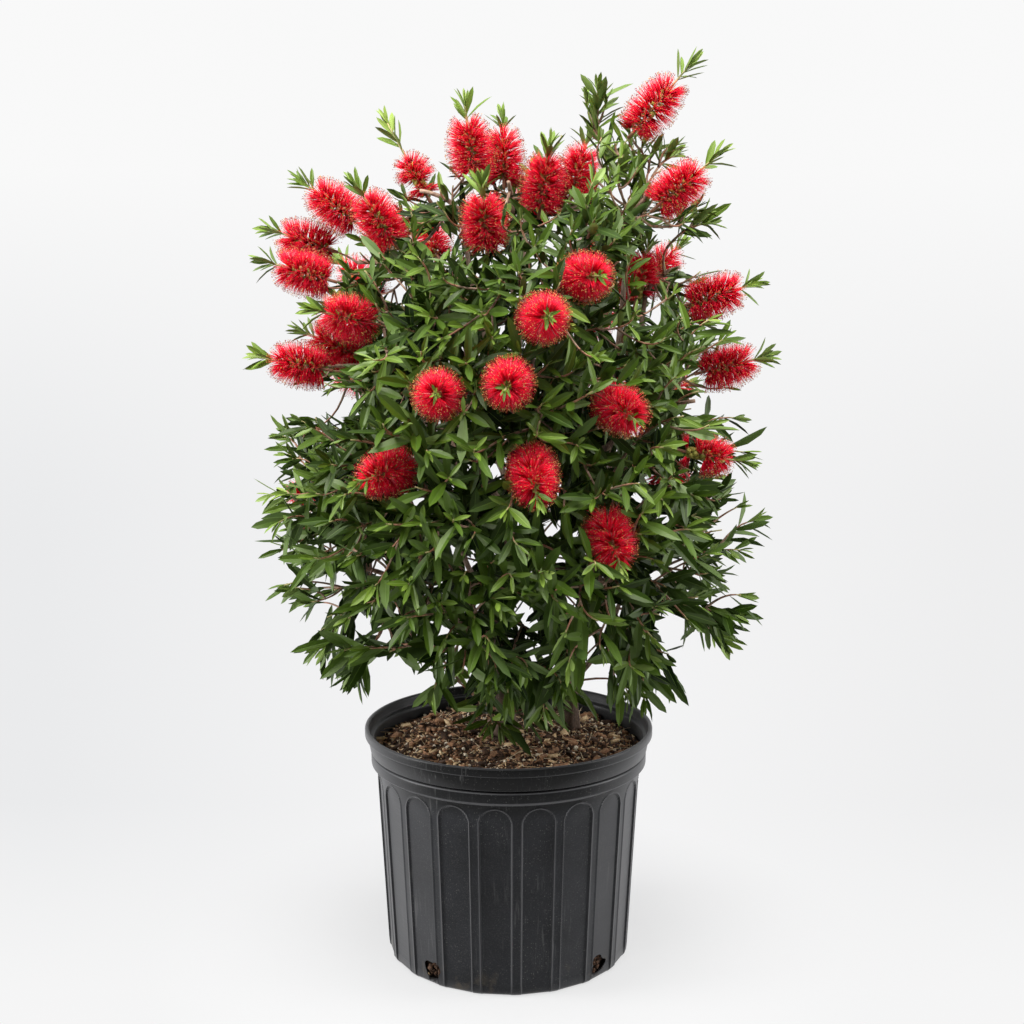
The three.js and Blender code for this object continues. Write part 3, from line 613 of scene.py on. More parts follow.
def turned_at_random(rng, count, tilt):
    """Turns for pieces that lie about: any way round, and tilted by up to so many degrees."""
    spin = rng.uniform(0, 2 * np.pi, count)
    lean = np.radians(rng.uniform(-tilt, tilt, (2, count)))
    zero, one = np.zeros(count), np.ones(count)
    cos_spin, cos_nod, cos_roll = np.cos([spin, *lean])
    sin_spin, sin_nod, sin_roll = np.sin([spin, *lean])
    around = (cos_spin, -sin_spin, zero, sin_spin, cos_spin, zero, zero, zero, one)
    nod = (cos_nod, zero, sin_nod, zero, one, zero, -sin_nod, zero, cos_nod)
    roll = (one, zero, zero, zero, cos_roll, -sin_roll, zero, sin_roll, cos_roll)
    around, nod, roll = (np.stack(turn, 1).reshape(-1, 3, 3) for turn in (around, nod, roll))
    return around @ nod @ roll


def spread_on_mix(rng, count, edge, rises):
    """Places a little above the mix, spread evenly over its disc and clear of the stems."""
    reach = edge * np.sqrt(rng.uniform(0, 1, count))
    turn = rng.uniform(0, 2 * np.pi, count)
    x, y = reach * np.cos(turn), reach * np.sin(turn)
    for foot_x, foot_y, radius in STEM_FEET:
        away = np.maximum(np.hypot(x - foot_x, y - foot_y), 1e-3)
        push = np.maximum(radius * STEM_CLEAR - away, 0) / away
        x, y = x + (x - foot_x) * push, y + (y - foot_y) * push
    return np.stack([x, y, soil_height(x, y) + rng.uniform(*rises, count)], 1)


CHIP_STRAY = (-0.45, 0.25)
BLOCK = np.array([(x, y, z) for x in (-1, 1) for y in (-1, 1) for z in (-1, 1)], float)
BLOCK_FACES = [(0, 1, 3, 2), (4, 6, 7, 5), (0, 4, 5, 1), (2, 3, 7, 6), (0, 2, 6, 4), (1, 5, 7, 3)]


def chips(rng, places, lengths, widths, heights, tilt):
    """Splinters and flakes: blocks with every corner a little out of place."""
    count = len(places)
    half = np.stack([lengths, widths, heights], 1)[:, None, :] / 2
    shapes = BLOCK * (1 + rng.uniform(*CHIP_STRAY, (count, 8, 3))) * half
    return np.einsum("nij,nkj->nki", turned_at_random(rng, count, tilt), shapes) + places[:, None, :]


def mottled_finish(name, dark, pale, roughness=0.85, grain=(420.0, 4.0), low=0.35, bumps=(0.6, 0.0006)):
    """A dull surface in two mottled shades with fine bumps."""
    material, shader = finish_named(name, dark, roughness)
    tree = material.node_tree
    patches = noise(tree, tree.nodes.new("ShaderNodeTexCoord").outputs["Object"], *grain)
    color = mix_color(tree, ramp(tree, patches, low, 0.7), dark, pale)
    tree.links.new(color, shader.inputs["Base Color"])
    relief(tree, shader, patches, *bumps)
    return material


mix_crumb = mottled_finish("mix_crumb", (0.016, 0.008, 0.003), (0.09, 0.042, 0.019))
mix_finishes = [mottled_finish(*row) for row in (
    ("chip_dark", (0.022, 0.011, 0.005), (0.12, 0.056, 0.026)),
    ("chip_brown", (0.2, 0.094, 0.044), (0.5, 0.27, 0.14)),
    ("chip_red", (0.27, 0.125, 0.062), (0.52, 0.3, 0.17)),
    ("chip_tan", (0.62, 0.4, 0.2), (0.98, 0.76, 0.47)),
    ("straw", (0.8, 0.6, 0.36), (0.98, 0.85, 0.62)),
    ("perlite", (0.85, 0.72, 0.52), (0.97, 0.9, 0.76)),
)]
PERLITE = 5
FIBRE_KINDS = (2, 3, 4)
soil.data.materials.append(mix_crumb)
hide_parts("potting_mix")
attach(soil, "root")

rng = np.random.default_rng(7)
EDGE = SOIL_RADIUS - 2.5
GRIT, GRIT_RISES = 360, (0.5, 1.6)
GRIT_SIZES, LARGEST_GRIT, GRIT_STRAY = (0.28, 0.86), 3.3, (0.7, 1.25)
FIBRES, FIBRE_STEPS, FIBRE_RISES = 150, 8, (1.2, 2.6)
FIBRE_LENGTHS, FIBRE_CURL, FIBRE_RADII = (8, 30), 1.4, (0.16, 0.42)

# Each kind of loose piece: how many, how far up it lies, its least and greatest length, width and
# thickness, its greatest tilt, and the shares of dark, brown, red, tan and straw ones.
LOOSE = (
    (5400, (-0.6, 1.0), (1.4, 3.6), (0.9, 2.4), (0.7, 1.8), 60, (0.52, 0.26, 0.12, 0.1, 0)),
    (900, (-0.2, 1.2), (3.5, 9.0), (1.6, 4.0), (0.7, 1.8), 36, (0.4, 0.3, 0.15, 0.15, 0)),
    (230, (0.6, 2.2), (7.0, 15.0), (3.6, 7.5), (1.6, 4.0), 30, (0.44, 0.3, 0.15, 0.11, 0)),
    (330, (0.8, 2.2), (1.6, 7.5), (0.7, 1.7), (0.4, 1.0), 30, (0, 0, 0, 0.45, 0.55)),
)
strewn, kinds = [], []
for count, rises, *ranges, tilt, shares in LOOSE:
    lie = spread_on_mix(rng, count, EDGE, rises)
    strewn.append(chips(rng, lie, *(rng.uniform(*limits, count) for limits in ranges), tilt))
    kinds.append(rng.choice(len(shares), count, p=shares))

# Bits of bark that show in the drain holes, nearly all dark: painted shade in the hollow behind each
# hole.
PER_HOLE = 34
HOLE_TURN = 4.6
HOLE_REACH = (109.4, 113.4)
HOLE_RISE = 8.0
HOLE_BITS = (1.2, 4.6)
HOLE_SHARES = (0.9, 0.05, 0.0, 0.05, 0)
turns = np.radians(np.repeat(DRAIN_BEARINGS, PER_HOLE))
count = len(turns)
turns += rng.uniform(-HOLE_TURN, HOLE_TURN, count) * np.pi / 180
reach = rng.uniform(*HOLE_REACH, count)
level = DRAIN_HEIGHT + rng.uniform(-HOLE_RISE, HOLE_RISE, count)
lie = np.stack([reach * np.sin(turns), -reach * np.cos(turns), level], 1)
strewn.append(chips(rng, lie, *rng.uniform(*HOLE_BITS, (3, count)), 90))
kinds.append(rng.choice(len(HOLE_SHARES), count, p=HOLE_SHARES))
strewn, kinds = np.concatenate(strewn), np.concatenate(kinds)
chip_piece = joined("potting_mix_chips", strewn, BLOCK_FACES, mix_finishes, kinds[:, None])
bpy.context.view_layer.update()

bpy.ops.object.select_all(action="DESELECT")
bpy.ops.mesh.primitive_ico_sphere_add(subdivisions=1, radius=1)
bead = bpy.context.object
bead_corners = places_of(bead.data)
bead_faces = [tuple(face.vertices) for face in bead.data.polygons]
bpy.data.objects.remove(bead)
grit_places = spread_on_mix(rng, GRIT, EDGE, GRIT_RISES)
grit_size = rng.uniform(*GRIT_SIZES, (GRIT, 1, 1)) ** 2 * LARGEST_GRIT
grit_size = grit_size * rng.uniform(*GRIT_STRAY, (GRIT, len(bead_corners), 1))
grit = bead_corners * grit_size + grit_places[:, None, :]
grit_piece = joined("potting_mix_perlite", grit, bead_faces, mix_finishes, np.full((GRIT, 1), PERLITE))

RING = np.array([(math.cos(turn), math.sin(turn)) for turn in (0.5, 2.594, 4.689)])


def threads(starts, headings, sides, lengths, curls, radii, steps):
    """Thin bent threads of three sides, closed at both ends: root fibres, straw and stamens."""
    share = np.linspace(0, 1, steps + 1)
    up = np.cross(headings, sides)
    turn = curls[:, None] * share[None, :]
    along = lengths[:, None] * share[None, :]
    middles = (starts[:, None, :] + headings[:, None, :] * (along * np.cos(turn / 2))[..., None]
               + sides[:, None, :] * (along * np.sin(turn / 2))[..., None])
    across = (sides[:, None, None, :] * RING[None, None, :, :1]
              + up[:, None, None, :] * RING[None, None, :, 1:])
    rings = middles[:, :, None, :] + across * radii[:, :, None, None]
    return rings.reshape(len(starts), -1, 3)


def band(first, second, count):
    """The faces between two rings of corners, which start at the numbers given."""
    return [(first + k, first + (k + 1) % count, second + (k + 1) % count, second + k)
            for k in range(count)]


def tube_faces(sides, rings):
    """The faces of a closed tube: its two ends, then a band from each ring to the next."""
    last = (rings - 1) * sides
    faces = [tuple(range(sides))[::-1], tuple(range(last, last + sides))]
    for low in range(0, last, sides):
        faces += band(low, low + sides, sides)
    return faces


def unit(vectors):
    return vectors / np.maximum(np.linalg.norm(vectors, axis=-1, keepdims=True), 1e-9)


fibre_places = spread_on_mix(rng, FIBRES, EDGE - 8, FIBRE_RISES)
fibre_turn = rng.uniform(0, 2 * np.pi, FIBRES)
fibre_way = unit(np.stack([np.cos(fibre_turn), np.sin(fibre_turn), rng.uniform(-0.05, 0.3, FIBRES)], 1))
fibre_side = unit(np.cross((0, 0, 1), fibre_way) + rng.normal(0, 0.25, (FIBRES, 3)))
fibre_side = unit(fibre_side - fibre_way * (fibre_side * fibre_way).sum(1)[:, None])
fibre_radii = rng.uniform(*FIBRE_RADII, (FIBRES, 1)) * np.ones(FIBRE_STEPS + 1)
fibre_piece = joined("potting_mix_fibres",
                     threads(fibre_places, fibre_way, fibre_side, rng.uniform(*FIBRE_LENGTHS, FIBRES),
                             rng.normal(0, FIBRE_CURL, FIBRES), fibre_radii, FIBRE_STEPS),
                     tube_faces(3, FIBRE_STEPS + 1), mix_finishes, rng.choice(FIBRE_KINDS, (FIBRES, 1)))

for piece in (chip_piece, grit_piece, fibre_piece):
    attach(piece, "root")


# ---- Stems ----
# Two woody stems, thicker where they flare at the mix. Their bark is grey-brown, furrowed lengthwise
# in shallow plates, and each runs up inside the crown to a thin tip.

# The places run up each stem's middle. Every next fork for a bough is fork_rise above the one before.
STEMS = {
    "stem_main": {
        "places": [(-2, 12, 212.3), (-8, 14, 330), (2, 6, 460), (8, 4, 615)],
        "radius": 8.6, "tip_radius": 2.6, "first_fork": 236.0, "fork_rise": 25.0,
    },
    "stem_right": {
        "places": [(62, 34, 212.3), (66, 30, 300), (80, 16, 400), (94, 6, 530)],
        "radius": 6.4, "tip_radius": 2.3, "first_fork": 262.0, "fork_rise": 37.0,
    },
}
ROOT_FLARE = 1.45
FLARE_SHARE = 0.1
STEM_SIDES, STEM_SECTIONS = 28, 121
STEM_FURROW = 0.32
FURROW_RADIUS = 9.0
BUTTRESSES, BUTTRESS_SWELL = 4, 0.35
CURVE_STEPS = 200
SECTION_FACING = np.array([0.31, 0.95, 0.06])


def through(places):
    """A smooth curve through places, with knots spaced by the root of their distance."""
    places = [2 * np.array(places[0], float) - places[1], *map(np.array, places),
              2 * np.array(places[-1], float) - places[-2]]
    points = []
    for p0, p1, p2, p3 in zip(places, places[1:], places[2:], places[3:]):
        d0, d1, d2 = (math.sqrt(np.linalg.norm(b - a)) for a, b in ((p0, p1), (p1, p2), (p2, p3)))
        lead = ((p1 - p0) / d0 - (p2 - p0) / (d0 + d1) + (p2 - p1) / d1) * d1
        trail = ((p2 - p1) / d1 - (p3 - p1) / (d1 + d2) + (p3 - p2) / d2) * d1
        t = np.linspace(0, 1, CURVE_STEPS + 1)[:, None]
        points.append(p1 + lead * t + (3 * (p2 - p1) - 2 * lead - trail) * t**2
                      + (2 * (p1 - p2) + lead + trail) * t**3)
    return np.concatenate([points[0], *(run[1:] for run in points[1:])])


def bowed(start, knee, end, steps=CURVE_STEPS):
    """A curve from start to end that bends towards a knee."""
    t = np.linspace(0, 1, steps + 1)[:, None]
    return (1 - t) ** 2 * start + 2 * t * (1 - t) * knee + t**2 * end


def runs_of(line):
    return np.concatenate([[0], np.cumsum(np.linalg.norm(np.diff(line, axis=0), axis=1))])


def spaced(line, shares):
    """Places along a line at shares of its length."""
    runs = runs_of(line)
    along = np.asarray(shares) * runs[-1]
    return np.stack([np.interp(along, runs, line[:, axis]) for axis in range(3)], -1)


def swung(first, second, angles):
    """Directions swung from first towards second by angles."""
    return first * np.cos(angles)[:, None] + second * np.sin(angles)[:, None]


def headings_of(line):
    return unit(np.concatenate([line[1:2] - line[:1], line[2:] - line[:-2], line[-1:] - line[-2:-1]]))


def frames_along(line):
    """Two directions square to a line at each of its places, that don't twist from one to the next."""
    headings = headings_of(line)
    across = np.empty_like(line)
    side = SECTION_FACING
    for index, heading in enumerate(headings):
        side = unit(side - heading * side.dot(heading))
        across[index] = side
    return across, np.cross(headings, across)


def rolled(name, line, radii, sides):
    """A limb: a sheet of faces rolled round a line and closed at both ends, with its seam merged."""
    across, up = frames_along(line)
    turns = np.linspace(0, 2 * np.pi, sides + 1)
    rings = (line[:, None, :] + across[:, None, :] * (np.cos(turns)[None, :] * radii)[..., None]
             + up[:, None, :] * (np.sin(turns)[None, :] * radii)[..., None])
    bpy.ops.object.select_all(action="DESELECT")
    bpy.ops.mesh.primitive_grid_add(x_subdivisions=sides, y_subdivisions=len(line) - 1)
    limb = bpy.context.object
    limb.name = name
    limb.location = (0, 0, 0)
    move_to(limb.data, rings.reshape(-1, 3) * MM)
    sheet = np.empty(len(limb.data.loops) * 2, np.float32)
    limb.data.uv_layers[0].data.foreach_get("uv", sheet)
    sheet = sheet.reshape(-1, 2) * (2 * np.pi * float(np.mean(radii)), runs_of(line)[-1])
    limb.data.uv_layers[0].data.foreach_set("uv", (sheet * MM).astype(np.float32).ravel())
    bpy.ops.object.mode_set(mode="EDIT")
    bpy.ops.mesh.select_all(action="SELECT")
    bpy.ops.mesh.remove_doubles(threshold=1e-6)
    bpy.ops.mesh.select_all(action="DESELECT")
    bpy.ops.mesh.select_non_manifold()
    bpy.ops.mesh.edge_face_add()
    close_outwards()
    bpy.ops.object.shade_smooth()
    return limb


def furrows(line, sides, depth, seed):
    """Relief for a limb's rings: shallow plates between furrows that run lengthwise and wander."""
    rng = np.random.default_rng(seed)
    turns = np.linspace(0, 2 * np.pi, sides + 1)[None, :]
    runs = runs_of(line)[:, None]
    wander = sum(rng.uniform(0.3, 0.7) * np.sin(runs / rng.uniform(14, 40) + rng.uniform(0, 6))
                 for _ in range(3))
    relief = np.zeros((len(line), sides + 1))
    for waves in (3, 5, 8, 11):
        phase = rng.uniform(0, 2 * np.pi) + wander * rng.uniform(0.4, 1.2)
        swell = 0.6 + 0.4 * np.sin(runs / rng.uniform(9, 22) + rng.uniform(0, 6))
        relief += swell * np.sin(waves * turns + phase) / math.sqrt(waves)
    return depth * relief


def bark_finish(name, dark, mid, pale, furrow_scale=900.0):
    material, shader = finish_named(name, mid, 0.85)
    tree = material.node_tree
    sheet = tree.nodes.new("ShaderNodeUVMap").outputs["UV"]
    where = tree.nodes.new("ShaderNodeTexCoord").outputs["Object"]
    strands = noise(tree, stretched(tree, sheet, (furrow_scale, furrow_scale / 7, 1)), 1.0, 5.0, 0.65)
    blotch = noise(tree, where, 60.0, 3.0)
    color = mix_color(tree, ramp(tree, strands, 0.34, 0.6), dark, mid)
    color = mix_color(tree, ramp(tree, blotch, 0.5, 0.72, 0.65), color, pale)
    color = mix_color(tree, speck_mask(tree, where, 700.0, 0.3, 0.16), color, pale)
    tree.links.new(color, shader.inputs["Base Color"])
    relief(tree, shader, strands, 0.7, 0.0009)
    return material


old_bark = bark_finish("old_bark", (0.035, 0.022, 0.014), (0.12, 0.075, 0.05), (0.23, 0.16, 0.11))
stem_lines = {}
for name, stem in STEMS.items():
    line = through(stem["places"])
    stem_lines[name] = line
    shares = np.linspace(0, 1, STEM_SECTIONS)
    places = spaced(line, shares)
    radii = stem["radius"] + (stem["tip_radius"] - stem["radius"]) * shares
    flare = stem["radius"] * (ROOT_FLARE - 1) * np.clip(1 - shares / FLARE_SHARE, 0, 1) ** 1.6
    turns = np.linspace(0, 2 * np.pi, STEM_SIDES + 1)
    buttress = 1 + BUTTRESS_SWELL * np.sin(BUTTRESSES * turns + 0.6)[None, :]
    bark = furrows(places, STEM_SIDES, STEM_FURROW, 3) * (radii / FURROW_RADIUS)[:, None]
    rings = radii[:, None] + flare[:, None] * buttress + bark
    limb = rolled(name + "_bark", places, rings, STEM_SIDES)
    foot = places_of(limb.data)
    foot[:, 2] = np.maximum(foot[:, 2], (GROUND - 4) * MM)
    move_to(limb.data, foot)
    limb.data.materials.append(old_bark)
    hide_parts(name)
    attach(limb, "root")


# ---- Boughs ----
# One tapering limb for each mass of foliage. It leaves its stem at a fork, spreads, and turns up to
# end where its mass begins.

# Each mass of foliage: its stem, its middle, its blooms and its separate shoots. A place is a bearing
# in degrees, a height and a reach.
MASSES = {
    "foot_sprig": ("stem_main", (-15, 250, 70), [], [(-14, 248, 72), (16, 292, 84), (-48, 284, 78)]),
    "low_front": ("stem_main", (-15, 360, 135), [], []),
    "low_back": ("stem_main", (180, 370, 140), [(172, 425, 205)], []),
    "low_left": ("stem_main", (-90, 385, 155), [(-99, 454, 203)], []),
    "mid_front_left": ("stem_main", (-35, 470, 150), [(-33, 503, 194)], []),
    "mid_back_left": ("stem_main", (-145, 510, 160),
                      [(-130, 560, 204), (-152, 488, 206), (-170, 550, 196)], []),
    "mid_front": ("stem_main", (10, 550, 165),
                  [(-17, 573, 198), (0, 582, 200), (31, 556, 188), (6, 505, 204)], []),
    "mid_left": ("stem_main", (-95, 575, 165), [(-90, 583, 199), (-103, 599, 173)], []),
    "upper_front_left": ("stem_main", (-55, 615, 135), [(-58, 631, 168)], []),
    "upper_back_left": ("stem_main", (-145, 640, 150),
                        [(-128, 660, 190), (-150, 700, 160), (-166, 632, 192)], []),
    "upper_front": ("stem_main", (15, 645, 160), [(9, 636, 192), (24, 668, 164)], []),
    "upper_left": ("stem_main", (-100, 672, 145),
                   [(-97, 731, 166), (-102, 697, 199), (-87, 669, 192)], []),
    "top_left": ("stem_main", (-88, 738, 82), [(-109, 759, 93), (-71, 718, 125)], [(-96, 800, 112)]),
    "top_back": ("stem_main", (165, 745, 90), [(-175, 779, 60), (136, 764, 97), (170, 738, 135)], []),
    "top_middle": ("stem_main", (0, 745, 35), [(-60, 784, 40), (73, 751, 34), (-13, 716, 92)], []),
    "low_right": ("stem_right", (95, 380, 150), [], []),
    "low_front_right": ("stem_right", (35, 395, 150), [(27, 446, 194)], []),
    "mid_front_right": ("stem_right", (50, 485, 130), [], []),
    "mid_back_right": ("stem_right", (140, 500, 160),
                       [(128, 548, 206), (155, 505, 202), (122, 455, 200)], []),
    "mid_right": ("stem_right", (85, 545, 175), [(93, 581, 210), (81, 500, 190)], []),
    "upper_back_right": ("stem_right", (140, 640, 150),
                         [(126, 672, 186), (150, 688, 172), (152, 618, 196)], []),
    "upper_right": ("stem_right", (100, 668, 165), [(90, 647, 194), (99, 666, 127)], []),
    "top_right": ("stem_right", (85, 730, 125), [(90, 820, 135), (83, 746, 158)],
                  [(96, 806, 82), (92, 706, 190)]),
}
BOUGH_RADIUS = 3.3
BOUGH_TIP_RADIUS = 2.0
BOUGH_LEAST_RISE = 6.0
BOUGH_SHARE = 0.55
BOUGH_DROP = 28.0
BOUGH_SPREAD = 0.7
BOUGH_RISE = 0.35
BOUGH_SIDES, BOUGH_SECTIONS = 14, 34
BOUGH_COLLAR = 2.0
BOUGH_FURROW = 0.16


def place_at(bearing, height, reach):
    """A place in the crown. Bearing 0 faces the front, 90 is to the right, reach is from the axis."""
    turn = math.radians(bearing)
    return np.array([reach * math.sin(turn), -reach * math.cos(turn), height])


def between(start, end, share):
    return start + (end - start) * share


young_bark = bark_finish("young_bark", (0.1, 0.06, 0.042), (0.27, 0.18, 0.125), (0.46, 0.36, 0.28))
middles = {name: place_at(*mass[1]) for name, mass in MASSES.items()}
bough_lines = {}
forks_used = {name: 0 for name in STEMS}
for name, (stem_name, *_) in MASSES.items():
    stem = STEMS[stem_name]
    trunk = stem_lines[stem_name]
    fork_height = stem["first_fork"] + forks_used[stem_name] * stem["fork_rise"]
    forks_used[stem_name] += 1
    start = trunk[min(np.searchsorted(trunk[:, 2], fork_height), len(trunk) - 1)]
    tip = between(start, middles[name], BOUGH_SHARE)
    tip[2] = max(start[2] + BOUGH_LEAST_RISE, middles[name][2] - BOUGH_DROP)
    bend = between(start, tip, BOUGH_SPREAD)
    bend[2] = between(start[2], tip[2], BOUGH_RISE)
    bough_lines[name] = bowed(start, bend, tip)
    shares = np.linspace(0, 1, BOUGH_SECTIONS)
    places = spaced(bough_lines[name], shares)
    collar = BOUGH_COLLAR * np.clip(1 - shares * 8, 0, 1) ** 2
    radii = BOUGH_RADIUS + (BOUGH_TIP_RADIUS - BOUGH_RADIUS) * shares + collar
    rings = radii[:, None] + furrows(places, BOUGH_SIDES, BOUGH_FURROW, 20 + len(bough_lines))
    limb = rolled("bough_" + name + "_bark", places, rings, BOUGH_SIDES)
    limb.data.materials.append(young_bark)
    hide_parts("bough_" + name)
    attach(limb, "root")


# ---- Twigs ----
# Each mass grows from its bough's tip by one rule: a stem runs on to its middle, and every shoot,
# nearest first, springs from the fork that it reaches best. Young wood is red-brown at its tips.

HEART = np.array([0.0, 0.0, 530.0])

# Tables of pairs, here and further on, give a measure at each height and run straight in between.
CROWN_OUTLINE = [
    (285, 150), (330, 192), (380, 212), (450, 218), (520, 208),
    (600, 190), (680, 165), (740, 128), (780, 74), (800, 20),
]
CROWN_LEAN = 34.0
CROWN_WAIST = 500.0
SHOOT_COUNT = 186
GOLDEN_ANGLE = 137.508
SHOOT_STRAY = 14.0
INNER_SHOOT = 3
INNER_SHARE = 0.6
OUTER_SHARE = 0.9
SHOOT_FLATNESS = 0.7
SHOOT_LIFT = 0.1
TIP_SPACING = 38.0
LIMB_GAP = 0.3
TWIG_BEND = 0.45
LEAST_BEND, FULL_BEND = 0.12, 1.3
TWIG_STEPS, MASS_STEM_STEPS = 10, 12
STEM_FORKS = (0.35, 0.68, 1.0)
TWIG_FORKS = (0.45, 0.75)
FINE_FORKS = (0.4, 0.7)
RUN_COST = 0.35
TURN_COST = 45.0
TWIG_ROOM = 3.0
TWIG_BLOOM_REACH = 16.0
STEM_SPOTS, STEM_SPOT_RADII = 60, ((9.0, 3.2), (7.0, 2.8))
BOUGH_SPOTS, BOUGH_SPOT_RADIUS = 20, 4.0
FINE_COUNT = 2600
FINE_SPACING = [(420, 22.5), (560, 22), (660, 20), (800, 18)]
FINE_DEPTHS = (1.0, 0.93, 0.8, 0.98, 0.66, 0.9)
FINE_ROOM = -16.0
FINE_RISE = [(290, -0.6), (400, -0.15), (500, 0.25), (620, 0.7), (780, 1.5)]
EDGE_SPARE, EDGE_TOP = 9.0, 530.0
EDGE_FROM, EDGE_WIDTH = 0.65, 0.3
DEPTH_STRAY = 0.05
RISE_STRAY = 0.5
SWING_STRAY = 32.0
BLOOM_BACK = 4.0
BLOOM_SINK = 5.0
SPRAY_TIP = 14.0
LOW_LEFT_EDGE, LOW_LEFT_TOP = -185, 545
FACED_BEARING = 112
FACED_HEIGHT = 750
HIDDEN_BLOOM = (-99, 454, 203)
BLOOM_FACE_CLEAR = 130.0
BLOOM_FACE_SHARES = (0.3, 0.7)
FORK_TRIES = 12
SPRAY_ITEM, FINE_ITEM = 500, 1000
ITEM_PHASE, TRAIT_PHASE, WAVE_HEIGHT = 127.1, 311.7, 43758.5453

# How the blooms that show from the front hang: by bearing and height, how far each leans to the right
# and up, its length, the length of the young leaves beyond it, and the share of its cups that are bare.
BLOOM_WAYS = {
    (-17, 573): (0.25, -0.1, 50, 10, 0), (0, 582): (-0.1, -0.35, 50, 11, 0),
    (31, 556): (0.0, -0.45, 52, 11, 0), (6, 505): (0.0, -0.5, 58, 17, 0),
    (27, 446): (-0.15, -0.35, 56, 17, 0), (-33, 503): (-0.4, -0.1, 54, 17, 0),
    (9, 636): (0.0, -0.4, 50, 13, 0), (24, 668): (0.0, -0.6, 52, 12, 0),
    (-13, 716): (0.0, 0.75, 52, 27, 0), (-58, 631): (-0.05, -0.3, 56, 24, 0),
    (90, 820): (0.35, 0.0, 67, 33, 0.05), (83, 746): (0.25, -0.1, 60, 34, 0),
    (-109, 759): (-0.15, 0.0, 52, 44, 0.45), (-99, 454): (0.0, 0.0, 40, 8, 0.5),
    (81, 500): (0.0, 0.0, 56, 24, 0.3), (99, 666): (-0.45, 0.3, 56, 20, 0.35),
    (-60, 784): (0.0, 0.0, 56, 28, 0),
    (-97, 731): (0.0, -0.3, 58, 26, 0), (-102, 697): (0.0, -0.4, 58, 26, 0),
    (-87, 669): (0.0, -0.35, 58, 26, 0), (-90, 583): (0.0, -0.08, 58, 26, 0),
    (90, 647): (0.0, -0.25, 60, 26, 0),
}
USUAL_YOUNG = 25
BLOOM_WAY = (0.0, 0.0, 58, USUAL_YOUNG, 0)

